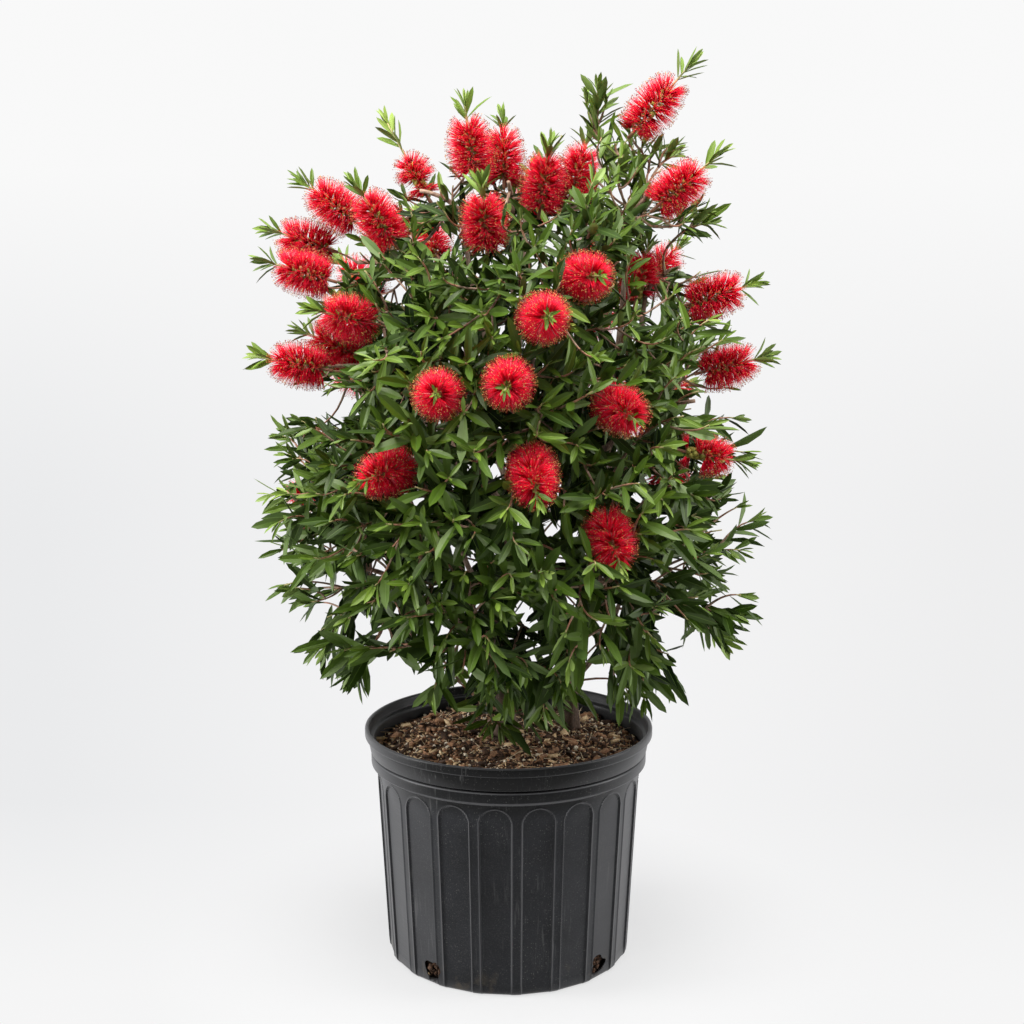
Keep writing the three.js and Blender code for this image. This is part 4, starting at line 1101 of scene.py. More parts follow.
# Shoots that stand out of the crown: where each one's leaves end, from the pot's middle, and the way
# that it points.
SPRAYS = [
    (-228, 0, 512, -0.92, -0.33, 0.19), (-220, -25, 498, -0.90, -0.38, 0.20),
    (-199, 25, 530, -0.70, -0.46, 0.55), (-230, 10, 437, -0.95, -0.31, -0.07),
    (-215, -30, 423, -0.95, -0.27, -0.15), (-230, 20, 397, -0.94, -0.34, -0.06),
    (-213, -10, 362, -0.92, -0.38, -0.02), (-195, -30, 304, -0.83, -0.47, -0.30),
    (-169, -60, 301, -0.63, -0.47, -0.62), (-152, -45, 272, -0.39, -0.45, -0.80),
    (248, 0, 430, 0.90, -0.40, 0.18), (234, -20, 402, 0.89, -0.45, -0.03),
    (223, -15, 336, 0.88, -0.39, -0.26), (221, 10, 299, 0.77, -0.46, -0.44),
    (130, -70, 257, 0.22, -0.36, -0.90), (164, -50, 275, 0.64, -0.47, -0.61),
    (149, -60, 320, 0.77, -0.54, -0.32), (194, 20, 531, 0.80, -0.48, 0.36),
    (220, 20, 455, 0.82, -0.50, 0.28), (79, 8, 845, -0.18, -0.28, 0.94),
    (166, 10, 776, 0.83, -0.45, 0.33), (117, 30, 815, 0.19, -0.38, 0.91),
    (73, 0, 802, -0.27, -0.36, 0.89), (202, 10, 710, 0.90, -0.44, 0.06),
    (185, 0, 731, 0.73, -0.43, 0.53), (-17, -85, 319, -0.20, -0.47, -0.86),
    (-23, -72, 261, -0.03, -0.50, -0.86), (2, -120, 394, -0.20, -0.63, -0.75),
    (59, -60, 269, 0.08, -0.51, -0.85), (30, -40, 263, -0.13, -0.55, -0.82),
    (45, -40, 255, 0.05, -0.50, -0.86), (60, -30, 268, 0.10, -0.50, -0.84),
    (50, -50, 292, -0.05, -0.60, -0.80), (74, -20, 322, 0.25, -0.55, -0.80),
    (16, -75, 246, -0.10, -0.50, -0.85), (-64, -130, 399, -0.34, -0.64, -0.68),
    (103, -125, 380, 0.29, -0.60, -0.74), (-3, -70, 231, 0.29, -0.58, -0.77),
    (76, 5, 810, -0.15, -0.41, 0.90), (89, 0, 783, 0.01, -0.41, 0.91),
    (71, -5, 774, -0.23, -0.41, 0.88), (94, -10, 756, 0.11, -0.41, 0.91),
    (135, 15, 789, 0.65, -0.41, 0.64), (146, 0, 765, 0.82, -0.41, 0.40),
    (118, 20, 798, 0.33, -0.41, 0.85), (112, 10, 775, 0.37, -0.41, 0.84),
    (176, -5, 715, 0.82, -0.41, 0.40), (168, 0, 697, 0.86, -0.41, 0.31),
    (150, -10, 716, 0.66, -0.41, 0.63), (98, -60, 641, 0.45, -0.41, 0.79),
    (118, -50, 622, 0.69, -0.41, 0.60), (111, -60, 601, 0.82, -0.41, 0.41),
    (133, -40, 599, 0.80, -0.41, 0.43), (93, -50, 667, 0.24, -0.41, 0.88),
    (177, -20, 589, 0.85, -0.41, 0.34), (169, 0, 638, 0.72, -0.41, 0.56),
    (112, -75, 262, 0.02, -0.41, -0.90), (142, 5, 790, 0.45, -0.35, 0.80),
    (96, -75, 276, -0.12, -0.41, -0.90), (66, 5, 832, -0.34, -0.33, 0.88),
    (92, 10, 834, 0.12, -0.33, 0.94), (80, -2, 842, -0.10, -0.33, 0.94),
    (103, -5, 794, 0.30, -0.33, 0.90), (72, -8, 786, -0.27, -0.33, 0.90),
    (121, -12, 790, 0.46, -0.33, 0.83), (158, -5, 786, 0.74, -0.33, 0.58),
    (166, 0, 773, 0.91, -0.33, 0.25), (153, -8, 760, 0.90, -0.33, 0.29),
    (92, -12, 774, 0.10, -0.33, 0.94), (127, -10, 743, 0.83, -0.33, 0.46),
    (109, -15, 725, 0.49, -0.33, 0.80), (192, -5, 709, 0.94, -0.33, 0.12),
    (197, 5, 722, 0.88, -0.33, 0.34), (83, -20, 738, -0.02, -0.33, 0.94),
    (123, 0, 729, 0.44, -0.33, 0.83), (-49, 0, 756, 0.16, -0.33, 0.93),
    (128, -5, 775, 0.30, -0.40, 0.85), (-62, -10, 752, 0.05, -0.33, 0.93),
    (-145, -10, 693, -0.53, -0.33, 0.78), (-151, 0, 682, -0.81, -0.33, 0.48),
    (-103, -25, 648, -0.31, -0.33, 0.89), (-71, -20, 716, -0.10, -0.33, 0.94),
    (-94, -25, 684, -0.21, -0.33, 0.92), (-226, 10, 516, -0.90, -0.33, 0.28),
    (-210, 0, 528, -0.85, -0.33, 0.41), (-192, -10, 537, -0.70, -0.33, 0.63),
    (-209, -40, 477, -0.94, -0.33, -0.03), (-201, -45, 457, -0.94, -0.33, -0.11),
    (-180, -20, 357, -0.84, -0.33, -0.43), (-171, -35, 337, -0.84, -0.33, -0.43),
    (-194, -20, 318, -0.87, -0.33, -0.38), (-159, -40, 371, -0.86, -0.33, -0.39),
    (229, -15, 450, 0.83, -0.33, 0.45), (211, -25, 462, 0.73, -0.33, 0.59),
    (214, -30, 426, 0.93, -0.33, 0.13), (235, -20, 357, 0.93, -0.33, -0.14),
    (228, -25, 337, 0.88, -0.33, -0.33), (202, -25, 310, 0.51, -0.33, -0.79),
    (221, -15, 317, 0.73, -0.33, -0.60), (150, -65, 292, 0.62, -0.33, -0.70),
    (-9, -95, 328, -0.13, -0.33, -0.93), (-27, -95, 311, -0.27, -0.33, -0.90),
    (-44, -60, 284, -0.25, -0.45, -0.86), (-69, -60, 296, -0.15, -0.40, -0.90),
    (-98, -60, 304, -0.20, -0.40, -0.90),
]

# The widest gaps that show from the front, on the plane through the pot's middle: place to the right,
# height, and half their width and height.
GAPS = np.array([
    (85, 268, 12, 20), (135, 754, 9, 5), (-185, 332, 6, 8), (142, 695, 11, 8), (180, 540, 6, 8),
    (102, 607, 6, 5), (-139, 678, 8, 10), (138, 628, 4, 6), (-152, 546, 8, 8), (-168, 350, 4, 4),
    (103, 733, 7, 6), (174, 560, 8, 4), (203, 419, 7, 4), (-174, 367, 7, 4), (-106, 648, 8, 11),
    (-50, 741, 4, 5), (205, 348, 11, 5), (226, 372, 14, 9), (-180, 617, 7, 8), (-191, 544, 13, 15),
    (-50, 262, 6, 5), (-125, 383, 8, 6), (40, 420, 6, 6), (160, 387, 7, 6), (-120, 319, 6, 8),
    (209, 438, 4, 5), (175, 680, 22, 13), (-106, 280, 13, 13), (176, 291, 10, 12), (-64, 693, 7, 8),
    (36, 819, 28, 24), (12, 800, 6, 17), (59, 796, 9, 10), (-63, 800, 10, 29), (211, 542, 19, 10),
    (-166, 540, 15, 11), (-124, 280, 12, 14), (-94, 268, 18, 10), (158, 323, 12, 14),
    (178, 280, 16, 11), (59, 785, 8, 22), (14, 787, 7, 20), (-233, 378, 23, 12), (-234, 333, 23, 14),
    (-142, 326, 5, 5), (-108, 341, 3, 4), (-63, 321, 4, 4), (-119, 385, 3, 3), (-37, 390, 3, 4),
    (-54, 402, 3, 4), (49, 390, 4, 4), (79, 311, 4, 5), (92, 326, 4, 4), (106, 341, 4, 4),
    (141, 375, 4, 4), (125, 449, 4, 4), (139, 468, 4, 4), (-84, 449, 3, 4), (-171, 405, 4, 4),
    (-157, 371, 4, 4), (-30, 345, 3, 4), (20, 340, 3, 4), (60, 350, 3, 4), (-10, 480, 3, 3),
    (120, 520, 4, 4), (150, 430, 4, 4),
], float)
GAP_SPARE = 2.0


def chance(item, trait):
    """A number from 0 to 1 that is always the same for an item and one of its numbered traits."""
    wave = math.sin(item * ITEM_PHASE + trait * TRAIT_PHASE) * WAVE_HEIGHT
    return wave - math.floor(wave)


def room_inside(name, places):
    """How far places lie inside a mass's own space, which is all that is nearest to its middle."""
    own = middles[name]
    from_own = ((places - own) ** 2).sum(-1)
    rooms = [
        (((places - other) ** 2).sum(-1) - from_own) / (2 * np.linalg.norm(other - own))
        for other_name, other in middles.items() if other_name != name
    ]
    return np.min(rooms, axis=0)


limb_places = np.concatenate([
    spaced(line, np.linspace(0, 1, spots))
    for lines, spots in ((stem_lines, STEM_SPOTS), (bough_lines, BOUGH_SPOTS))
    for line in lines.values()])
limb_radii = np.concatenate([*(np.linspace(*radii, STEM_SPOTS) for radii in STEM_SPOT_RADII),
                             np.full(BOUGH_SPOTS * len(MASSES), BOUGH_SPOT_RADIUS)])


def off_limbs(places):
    """How far each place is from the nearest stem or bough."""
    apart = np.linalg.norm(places[:, None, :] - limb_places[None, :, :], axis=-1)
    return (apart - limb_radii).min(1)


def shoot(item, place, heading, **traits):
    return {"item": item, "place": place, "heading": unit(np.array(heading)), "bloom": None,
            "fine": False, "kept": False, **traits}


def shoot_tip(item, place):
    """The tip of a leafy shoot, which points outwards and a little up, or down where it hangs low."""
    heading = unit(place - HEART)
    heading[2] = heading[2] * SHOOT_FLATNESS + SHOOT_LIFT
    return shoot(item, place, heading)


def fine_tip(item, place):
    """The tip of a fine shoot, which lies level or hangs low down, and stands up high in the crown."""
    rise = float(np.interp(place[2], *zip(*FINE_RISE))) + RISE_STRAY * (2 * chance(item, 43) - 1)
    bearing = math.degrees(math.atan2(place[0], -place[1])) + SWING_STRAY * (2 * chance(item, 44) - 1)
    return shoot(item + FINE_ITEM, place, place_at(bearing, rise, 1.0), fine=True)


def crown_shoots(count, depths, trait, tip_of):
    """Tips in a rising spiral over the crown's outline, each at its own depth inside it."""
    heights, radii = zip(*CROWN_OUTLINE)
    for item in range(count):
        height = between(heights[0], heights[-1], (item + 0.5) / count)
        radius = float(np.interp(height, heights, radii))
        if chance(item, trait + 5) * max(radii) < radius:
            reach = radius * depths(item)
            place = place_at(item * GOLDEN_ANGLE + SHOOT_STRAY * chance(item, trait + 1), height, reach)
            lean = max(0.0, (height - CROWN_WAIST) / (heights[-1] - CROWN_WAIST))
            place[0] += CROWN_LEAN * lean * lean
            yield tip_of(item, place)


def main_depth(item):
    return INNER_SHARE if item % INNER_SHOOT == 0 else between(OUTER_SHARE, 1.0, chance(item, 2))


def fine_depth(item):
    return FINE_DEPTHS[item % len(FINE_DEPTHS)] + DEPTH_STRAY * chance(item, 42)


def bloom_tip(row):
    """The foot of a bloom, where its shoot enters it, and the way that the bloom points."""
    right, up, length, young, bare = BLOOM_WAYS.get(row[:2], BLOOM_WAY)
    middle = place_at(*row)
    heading = unit(unit(middle - HEART) + (right, 0, up))
    foot = middle - heading * (length / 2 + BLOOM_BACK) - (0, 0, BLOOM_SINK)
    faced = (abs(row[0]) < FACED_BEARING or row[1] > FACED_HEIGHT) and row != HIDDEN_BLOOM
    return shoot(row[0] + row[1], foot, heading, middle=middle, kept=True,
                 bloom={"length": length, "young": young, "bare": bare, "faced": faced})


def spray_tip(item, x, y, z, *heading):
    return shoot(item, np.array([x, y, z]) - unit(np.array(heading)) * SPRAY_TIP, heading, kept=True)


def in_a_gap(places):
    """Which places stand in one of the gaps, as seen from the front."""
    eye = np.array(CAMERA_PLACE) / MM
    seen = eye + (places - eye) * (eye[1] / (eye[1] - places[..., 1:2]))
    off = (((seen[..., None, 0] - GAPS[:, 0]) / (GAPS[:, 2] + GAP_SPARE)) ** 2
           + ((seen[..., None, 2] - GAPS[:, 1]) / (GAPS[:, 3] + GAP_SPARE)) ** 2)
    return (off < 1).any(-1)


def owner_of(place):
    return min(middles, key=lambda name: ((place - middles[name]) ** 2).sum())


def spot_of(tip):
    return tip.get("middle", tip["place"])


def forks_along(line, run, shares):
    runs = runs_of(line)
    headings = headings_of(line)
    return [
        (spaced(line, [share])[0], headings[min(np.searchsorted(runs, share * runs[-1]), len(line) - 1)],
         run + share * runs[-1])
        for share in shares
    ]


def best_forks(forks, place, count):
    """Where a new shoot is reached best: near, on a short run and straight ahead."""
    places, headings, runs = (np.array(column) for column in zip(*forks))
    way = place - places
    distance = np.linalg.norm(way, axis=1)
    ahead = (way * headings).sum(1) / np.maximum(distance, 1e-6)
    cost = distance + RUN_COST * runs + TURN_COST * (1 - ahead)
    return [forks[index] for index in np.argsort(cost)[:count]]


def twig_line(place, tip):
    """A twig from its fork to its tip. It bends less the more it has to turn back."""
    way = tip["place"] - place
    ahead = unit(way) @ tip["heading"]
    bend = TWIG_BEND * float(np.clip((1 + ahead) / FULL_BEND, LEAST_BEND, 1))
    knee = tip["place"] - tip["heading"] * np.linalg.norm(way) * bend
    return bowed(place, knee, tip["place"], TWIG_STEPS)


main_tips = list(crown_shoots(SHOOT_COUNT, main_depth, 0, shoot_tip))
tips_of = {}
for name, (_, _, flowers, shoots) in MASSES.items():
    tips = [bloom_tip(row) for row in flowers]
    tips += [shoot_tip(row[0] + row[1], place_at(*row)) for row in shoots]
    for tip in main_tips:
        near = any(np.linalg.norm(spot_of(other) - tip["place"]) <= TIP_SPACING for other in tips)
        if name != "foot_sprig" and owner_of(tip["place"]) == name and not near:
            tips.append(tip)
    tips_of[name] = tips

fine_tips_of = {name: [] for name in MASSES}
for item, spray in enumerate(SPRAYS):
    tip = spray_tip(SPRAY_ITEM + item, *spray)
    on_shoulder = spray[0] < LOW_LEFT_EDGE and spray[2] < LOW_LEFT_TOP
    fine_tips_of["low_left" if on_shoulder else owner_of(tip["place"])].append(tip)
crowded = [spot_of(tip) for tips in (*tips_of.values(), *fine_tips_of.values()) for tip in tips]
for tip in crown_shoots(FINE_COUNT, fine_depth, 40, fine_tip):
    owner = owner_of(tip["place"])
    spacing = np.interp(tip["place"][2], *zip(*FINE_SPACING))
    if tip["place"][2] < EDGE_TOP:
        side = abs(tip["place"][0]) / np.interp(tip["place"][2], *zip(*CROWN_OUTLINE))
        spacing += EDGE_SPARE * np.clip((side - EDGE_FROM) / EDGE_WIDTH, 0, 1)
    near = np.linalg.norm(np.array(crowded) - tip["place"], axis=1).min() <= spacing
    if owner != "foot_sprig" and not near and not in_a_gap(tip["place"]):
        fine_tips_of[owner].append(tip)
        crowded.append(tip["place"])

bloom_tips = [tip for tips in tips_of.values() for tip in tips if tip["bloom"]]
faced_tips = [tip for tip in bloom_tips if tip["bloom"]["faced"]]
bloom_middles = np.array([tip["place"] + tip["heading"] * tip["bloom"]["length"] * share
                          for tip in faced_tips for share in BLOOM_FACE_SHARES])
bloom_sights = unit(np.array(CAMERA_PLACE) / MM - bloom_middles)


def before_a_bloom(places, radius):
    """Which places hide the face of a bloom from the front."""
    way = places[:, None, :] - bloom_middles
    along = (way * bloom_sights).sum(-1)
    off = np.linalg.norm(way - along[..., None] * bloom_sights, axis=-1)
    return ((along > 0) & (along < BLOOM_FACE_CLEAR) & (off < radius)).any(1)


twigs = []
for name in MASSES:
    corners = spaced(bough_lines[name], (0, 1 / 3, 2 / 3, 1))
    heading = unit(corners[3] - corners[2])
    base = corners[3] + heading * LIMB_GAP
    knee = base + heading * np.linalg.norm(middles[name] - base) * TWIG_BEND
    stem = bowed(base, knee, middles[name], MASS_STEM_STEPS)
    forks = forks_along(stem, 0.0, STEM_FORKS)
    twigs.append({"mass": name, "line": stem, "tip": None})
    for tips, least_room, shares in ((tips_of[name], TWIG_ROOM, TWIG_FORKS),
                                     (fine_tips_of[name], FINE_ROOM, FINE_FORKS)):
        for tip in sorted(tips, key=lambda tip: np.linalg.norm(tip["place"] - base)):
            tries = FORK_TRIES if tip["kept"] and not tip["bloom"] else 1
            chosen = best_forks(forks, tip["place"], tries)
            ways = [(twig_line(place, tip), run) for place, _, run in chosen]
            free = [way for way in ways if not before_a_bloom(way[0], TWIG_BLOOM_REACH).any()]
            line, run = (free or ways)[0]
            fits = (free and room_inside(name, line[2:]).min() > least_room
                    and off_limbs(line[3:]).min() > TWIG_ROOM and not in_a_gap(line[6:]).any())
            if tip["kept"] or fits:
                twigs.append({"mass": name, "line": line, "tip": tip})
                forks += forks_along(line, run, shares)

TWIG_SIDES = 5
TWIG_RINGS = 9
TWIG_TURNS = np.arange(TWIG_SIDES) * 2 * np.pi / TWIG_SIDES
MASS_STEM_RADII = (2.9, 1.9)
SHOOT_RADIUS, FINE_RADIUS, TIP_RADIUS = 1.5, 1.15, 0.65
END_FACES = 2
RED_BAND, GREEN_BAND = 4, 7


def tubes(lines, radii):
    """Thin limbs as arrays: the corners of a closed tube round each line."""
    corners = []
    for line, widths in zip(lines, radii):
        across, up = frames_along(line)
        ring = (across[:, None, :] * np.cos(TWIG_TURNS)[:, None]
                + up[:, None, :] * np.sin(TWIG_TURNS)[:, None])
        corners.append((line[:, None, :] + ring * widths[:, None, None]).reshape(-1, 3))
    return np.array(corners)


twig_finishes = [mottled_finish(*row, (180.0, 3.0), 0.4, (0.4, 0.0003)) for row in (
    ("twig_brown", (0.2, 0.115, 0.075), (0.4, 0.27, 0.185), 0.75),
    ("twig_red", (0.27, 0.11, 0.06), (0.43, 0.23, 0.14), 0.6),
    ("twig_green", (0.26, 0.24, 0.08), (0.42, 0.33, 0.15), 0.55),
)]
ring_shares = np.linspace(0, 1, TWIG_RINGS)
twig_lines = [spaced(twig["line"], ring_shares) for twig in twigs]
twig_radii = [
    between(*MASS_STEM_RADII, ring_shares) if twig["tip"] is None
    else between(FINE_RADIUS if twig["tip"]["fine"] else SHOOT_RADIUS, TIP_RADIUS, ring_shares)
    for twig in twigs
]

# The first faces of a twig are its two ends. Its wood turns red, and then green, on its way out.
twig_faces = tube_faces(TWIG_SIDES, TWIG_RINGS)
twig_colors = np.zeros((len(twigs), len(twig_faces)), int)
twig_colors[:, END_FACES + RED_BAND * TWIG_SIDES:] = 1
twig_colors[:, END_FACES + GREEN_BAND * TWIG_SIDES:] = 2
twig_colors[[twig["tip"] is None for twig in twigs]] = 0
twig_piece = joined("twigs", tubes(twig_lines, twig_radii), twig_faces, twig_finishes, twig_colors)
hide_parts(*("foliage_" + name for name in MASSES))
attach(twig_piece, "root")


# ---- Leaves ----
# Narrow leathery leaves, folded a little on a paler rib, set in a close spiral round each shoot.
# They are largest down the shoot and small, upright and yellow-green at its tip.

LEAF_LENGTH = [(300, 41), (500, 37), (700, 33)]
LEAF_WIDTH_SHARE = 0.22
LEAF_SPACING = [(300, 5.4), (500, 4.9), (700, 4.5)]
LEAFY_STRETCH = [(560, 104), (680, 150)]
LEAFY_STEMS = ("top", "upper")
LEAFY_SHARE = 0.93
TIP_CROWDING = (0.3, 0.14)
SPACING_STRAY = (0.85, 1.15)
LEAF_RINGS = ((0.14, 0.5), (0.5, 1.0), (0.82, 0.72))
RIB_HALF, RIB_LIFT, RIB_DEPTH = 0.06, 0.1, 0.35
BLADE_CORNERS = ((1, 1), (RIB_HALF, RIB_LIFT), (-RIB_HALF, RIB_LIFT), (-1, 1))
ROOT_SINK = 0.4
STEEPEST_LEAN, LEAN_STRAY = 54, 9
LENGTH_STRAY, WIDTH_STRAY = (0.82, 1.16), (0.85, 1.15)
FOLDS = (0.12, 0.5)
SHOOT_PULL, OUTWARD_PULL, STRAY_PULL = 0.4, 0.5, 0.4
LIGHT_WAY = (0, -0.3, 0.4)
FOOT_TONES = (2.2, 3.1)
LEAF_SHEEN = (0.92, 1.0, 0.7, 1)
LEAF_TIP = 1 + 5 * len(LEAF_RINGS)
CREASES = [(1 + 5 * ring + side, 6 + 5 * ring + side) for ring in range(len(LEAF_RINGS) - 1)
           for side in range(4)]
CREASES += [(0, 1 + side) for side in range(4)] + [(LEAF_TIP, LEAF_TIP - 5 + side) for side in range(4)]


def leaf_faces():
    """The faces of one leaf from root to tip: blade, rib and blade above, and two blades below."""
    sides = ((0, 1), (1, 2), (2, 3), (3, 4), (4, 0))
    faces = [(0, 1 + far, 1 + near) for near, far in sides]
    for low in range(1, LEAF_TIP - 5, 5):
        faces += [(low + near, low + far, low + 5 + far, low + 5 + near) for near, far in sides]
    return faces + [(LEAF_TIP, LEAF_TIP - 5 + near, LEAF_TIP - 5 + far) for near, far in sides]


def leaf_shapes(roots, headings, faces_up, lengths, widths, folds, bows):
    """The corners of leaves: each starts at its root along its heading, and bows on the way."""
    sides = np.cross(faces_up, headings)
    corners = np.empty((len(roots), LEAF_TIP + 1, 3))
    corners[:, 0] = roots - headings * ROOT_SINK
    corners[:, LEAF_TIP] = roots + headings * lengths[:, None] + bows * lengths[:, None]
    for ring, (along, wide) in enumerate(LEAF_RINGS):
        middle = roots + headings * (lengths * along)[:, None] + bows * (lengths * along**2)[:, None]
        half = (widths / 2 * wide)[:, None]
        lift = faces_up * (folds[:, None] * half)
        for spot, (across, up) in enumerate(BLADE_CORNERS):
            corners[:, 1 + 5 * ring + spot] = middle + sides * half * across + lift * up
        corners[:, 5 + 5 * ring] = middle - faces_up * RIB_DEPTH
    return corners


def leaf_finish(name, color, roughness, gloss):
    material, shader = finish_named(name, color, roughness)
    shader.inputs["Specular IOR Level"].default_value = gloss
    shader.inputs["Specular Tint"].default_value = LEAF_SHEEN
    return material


GREENS = [
    ("leaf_deep", (0.004, 0.013, 0.001), 0.14), ("leaf_dark", (0.018, 0.04, 0.002), 0.28),
    ("leaf_mid", (0.046, 0.088, 0.006), 0.36), ("leaf_fresh", (0.082, 0.142, 0.012), 0.4),
    ("leaf_bright", (0.142, 0.222, 0.028), 0.4), ("leaf_young", (0.225, 0.31, 0.06), 0.36),
]
leaf_finishes = [leaf_finish(name, color, 0.4, gloss) for name, color, gloss in GREENS]
leaf_finishes += [
    leaf_finish("leaf_under_dark", (0.036, 0.066, 0.012), 0.6, 0.2),
    leaf_finish("leaf_under_pale", (0.13, 0.19, 0.045), 0.6, 0.2),
    leaf_finish("leaf_rib_dark", (0.066, 0.115, 0.018), 0.5, 0.3),
    leaf_finish("leaf_rib_pale", (0.19, 0.27, 0.06), 0.5, 0.3),
]


def leaf_run(line, item, first, blooming):
    """The leaves down one shoot, each with its root, heading, upper side, length and rank."""
    runs = runs_of(line)
    headings = headings_of(line)
    leaves = []
    back = first
    rank = 2 if blooming else 0
    turn_start = 360 * chance(item, 3)
    spacing = np.interp(line[-1, 2], *zip(*LEAF_SPACING))
    stretch = np.interp(line[-1, 2], *zip(*LEAFY_STRETCH))
    while back < min(stretch, LEAFY_SHARE * runs[-1]):
        share = runs[-1] - back
        root = np.array([np.interp(share, runs, line[:, axis]) for axis in range(3)])
        along = headings[min(np.searchsorted(runs, share), len(line) - 1)]
        leaves.append((root, along, turn_start + rank * GOLDEN_ANGLE, rank))
        crowding = min(1.0, TIP_CROWDING[0] + TIP_CROWDING[1] * rank)
        back += spacing * crowding * between(*SPACING_STRAY, chance(item, 60 + rank))
        rank += 1
    return leaves


def leaf_rows(leaves, rng, droop, long_leaf, leans=(16, 7), sizes=(0.36, 0.125)):
    """Arrays for leaf_shapes from a shoot's leaves. Their leans in degrees and their sizes as shares
    of long_leaf are given at the shoot's tip and by how much they grow from leaf to leaf."""
    roots = np.array([leaf[0] for leaf in leaves])
    along = np.array([leaf[1] for leaf in leaves])
    turns = np.radians([leaf[2] for leaf in leaves]) + rng.normal(0, 0.12, len(leaves))
    ranks = np.array([leaf[3] for leaf in leaves], float)
    side = unit(np.cross(along, SECTION_FACING))
    side = swung(side, np.cross(along, side), turns)
    lean = np.minimum(leans[0] + leans[1] * ranks, STEEPEST_LEAN)
    lean = np.radians(lean + rng.normal(0, LEAN_STRAY, len(leaves)))
    headings = swung(along, side, lean)
    headings[:, 2] -= droop * np.minimum(ranks / 6, 1)
    headings = unit(headings)
    up = along * SHOOT_PULL + unit(roots - HEART) * OUTWARD_PULL + LIGHT_WAY
    up += rng.normal(0, STRAY_PULL, (len(leaves), 3))
    up = unit(up - headings * (up * headings).sum(1)[:, None])
    grown = np.clip(sizes[0] + sizes[1] * ranks, 0, 1)
    lengths = long_leaf * grown * rng.uniform(*LENGTH_STRAY, len(leaves))
    widths = lengths * LEAF_WIDTH_SHARE * rng.uniform(*WIDTH_STRAY, len(leaves))
    folds = rng.uniform(*FOLDS, len(leaves))
    bows = -up * rng.normal(0.05, 0.09, len(leaves))[:, None]
    bows[:, 2] -= rng.uniform(0.0, 0.1, len(leaves))
    return roots, headings, up, lengths, widths, folds, bows, ranks


BLOOM_REACH, BLOOM_END = 20.0, 4.0
BLOOM_FACE_REACH = 17.0
LEAF_SPOTS = (0.15, 0.35, 0.55, 0.75, 0.95)
LEAF_ROOM = 1.0
BOX_SPARE = 8.0
RIM_INSIDE, RIM_OUTSIDE, OVER_RIM, OVER_MIX = 128, 142, 231, 214
box_low = np.array(cad_box[0]) / MM - BOX_SPARE
box_high = np.array(cad_box[1]) / MM + BOX_SPARE


def off_line(spots, start, heading):
    """How far along a line from start places are, and how far off it."""
    way = spots - start
    along = way @ heading
    return along, np.linalg.norm(way - along[:, None] * heading, axis=1)


def leaves_fit(roots, headings, lengths):
    """Which leaves stay over the mix, inside the plant's reach, and out of gaps, blooms and limbs."""
    fits = np.ones(len(roots), bool)
    for share in LEAF_SPOTS:
        spots = roots + headings * (lengths * share)[:, None]
        fits &= ~before_a_bloom(spots, BLOOM_FACE_REACH)
        fits &= (spots > box_low).all(1) & (spots < box_high).all(1) & ~in_a_gap(spots)
        out = np.hypot(spots[:, 0], spots[:, 1])
        fits &= spots[:, 2] > np.where((out > RIM_INSIDE) & (out < RIM_OUTSIDE), OVER_RIM, OVER_MIX)
        for tip in bloom_tips:
            foot, axis, length = tip["place"], tip["heading"], tip["bloom"]["length"]
            along, off = off_line(spots, foot, axis)
            fits &= ~((along > 0) & (along < length + BLOOM_END) & (off < BLOOM_REACH))
        fits &= off_limbs(spots) > LEAF_ROOM
    return fits


TIERS = {"low": ("foot", "low"), "mid": ("mid",), "upper": ("upper",), "top": ("top",)}


def tier_of(name):
    return next(tier for tier, words in TIERS.items() if name.split("_")[0] in words)


# Where the undersides and the ribs begin in the list of finishes, and what each face of a leaf is: 0 for
# its blade above, 1 for its rib and 2 for its underside.
UNDERSIDES, RIBS = 6, 8
FACE_KINDS = np.array([(0, 1, 0, 2, 2)] * (len(LEAF_RINGS) + 1)).ravel()


def leaf_piece(name, parts, fitted):
    """One piece of the leaves of many shoots. A fitted one leaves out those that are in the way."""
    rows = [np.concatenate(columns) for columns in zip(*(part[0] for part in parts))]
    top = np.concatenate([part[1] for part in parts]).astype(int)
    if fitted:
        fits = leaves_fit(rows[0], rows[1], rows[3])
        rows, top = [column[fits] for column in rows], top[fits]
    # The darker greens, painted shade among them, take the dark rib and underside.
    pale = (top >= 3).astype(int)
    dealt = np.stack([top, RIBS + pale, UNDERSIDES + pale], 1)[:, FACE_KINDS]
    return joined(name, leaf_shapes(*rows), leaf_faces(), leaf_finishes, dealt, CREASES)


# The number of a shoot's green grows with its reach in the crown, so that the shoots deep inside are
#  painted darker as shade, and with its height, and differs from shoot to shoot. The shoots that stand
#  out high up are fresher, and so is every shoot's tip. Low shoots droop.
TONE, TONE_STRAY = 0.55, 1.9
SHADE_BY_REACH, MIDDLE_REACH = 3.6, 0.85
MIDDLE_HEIGHT, TONE_HEIGHT = 500, 550
HIGH_SPRAY, HIGH_TONE = 700, 0.6
SPRAY_REACH = 0.95
MOST_TONE, TIP_TONE, TONE_BY_RANK = 3.3, 1.6, 0.4
LEAST_DROOP, LOW_DROOP, DROOP_STRAY = 0.05, 0.1, 0.25
DROOP_TOP, DROOP_HEIGHT = 430, 150

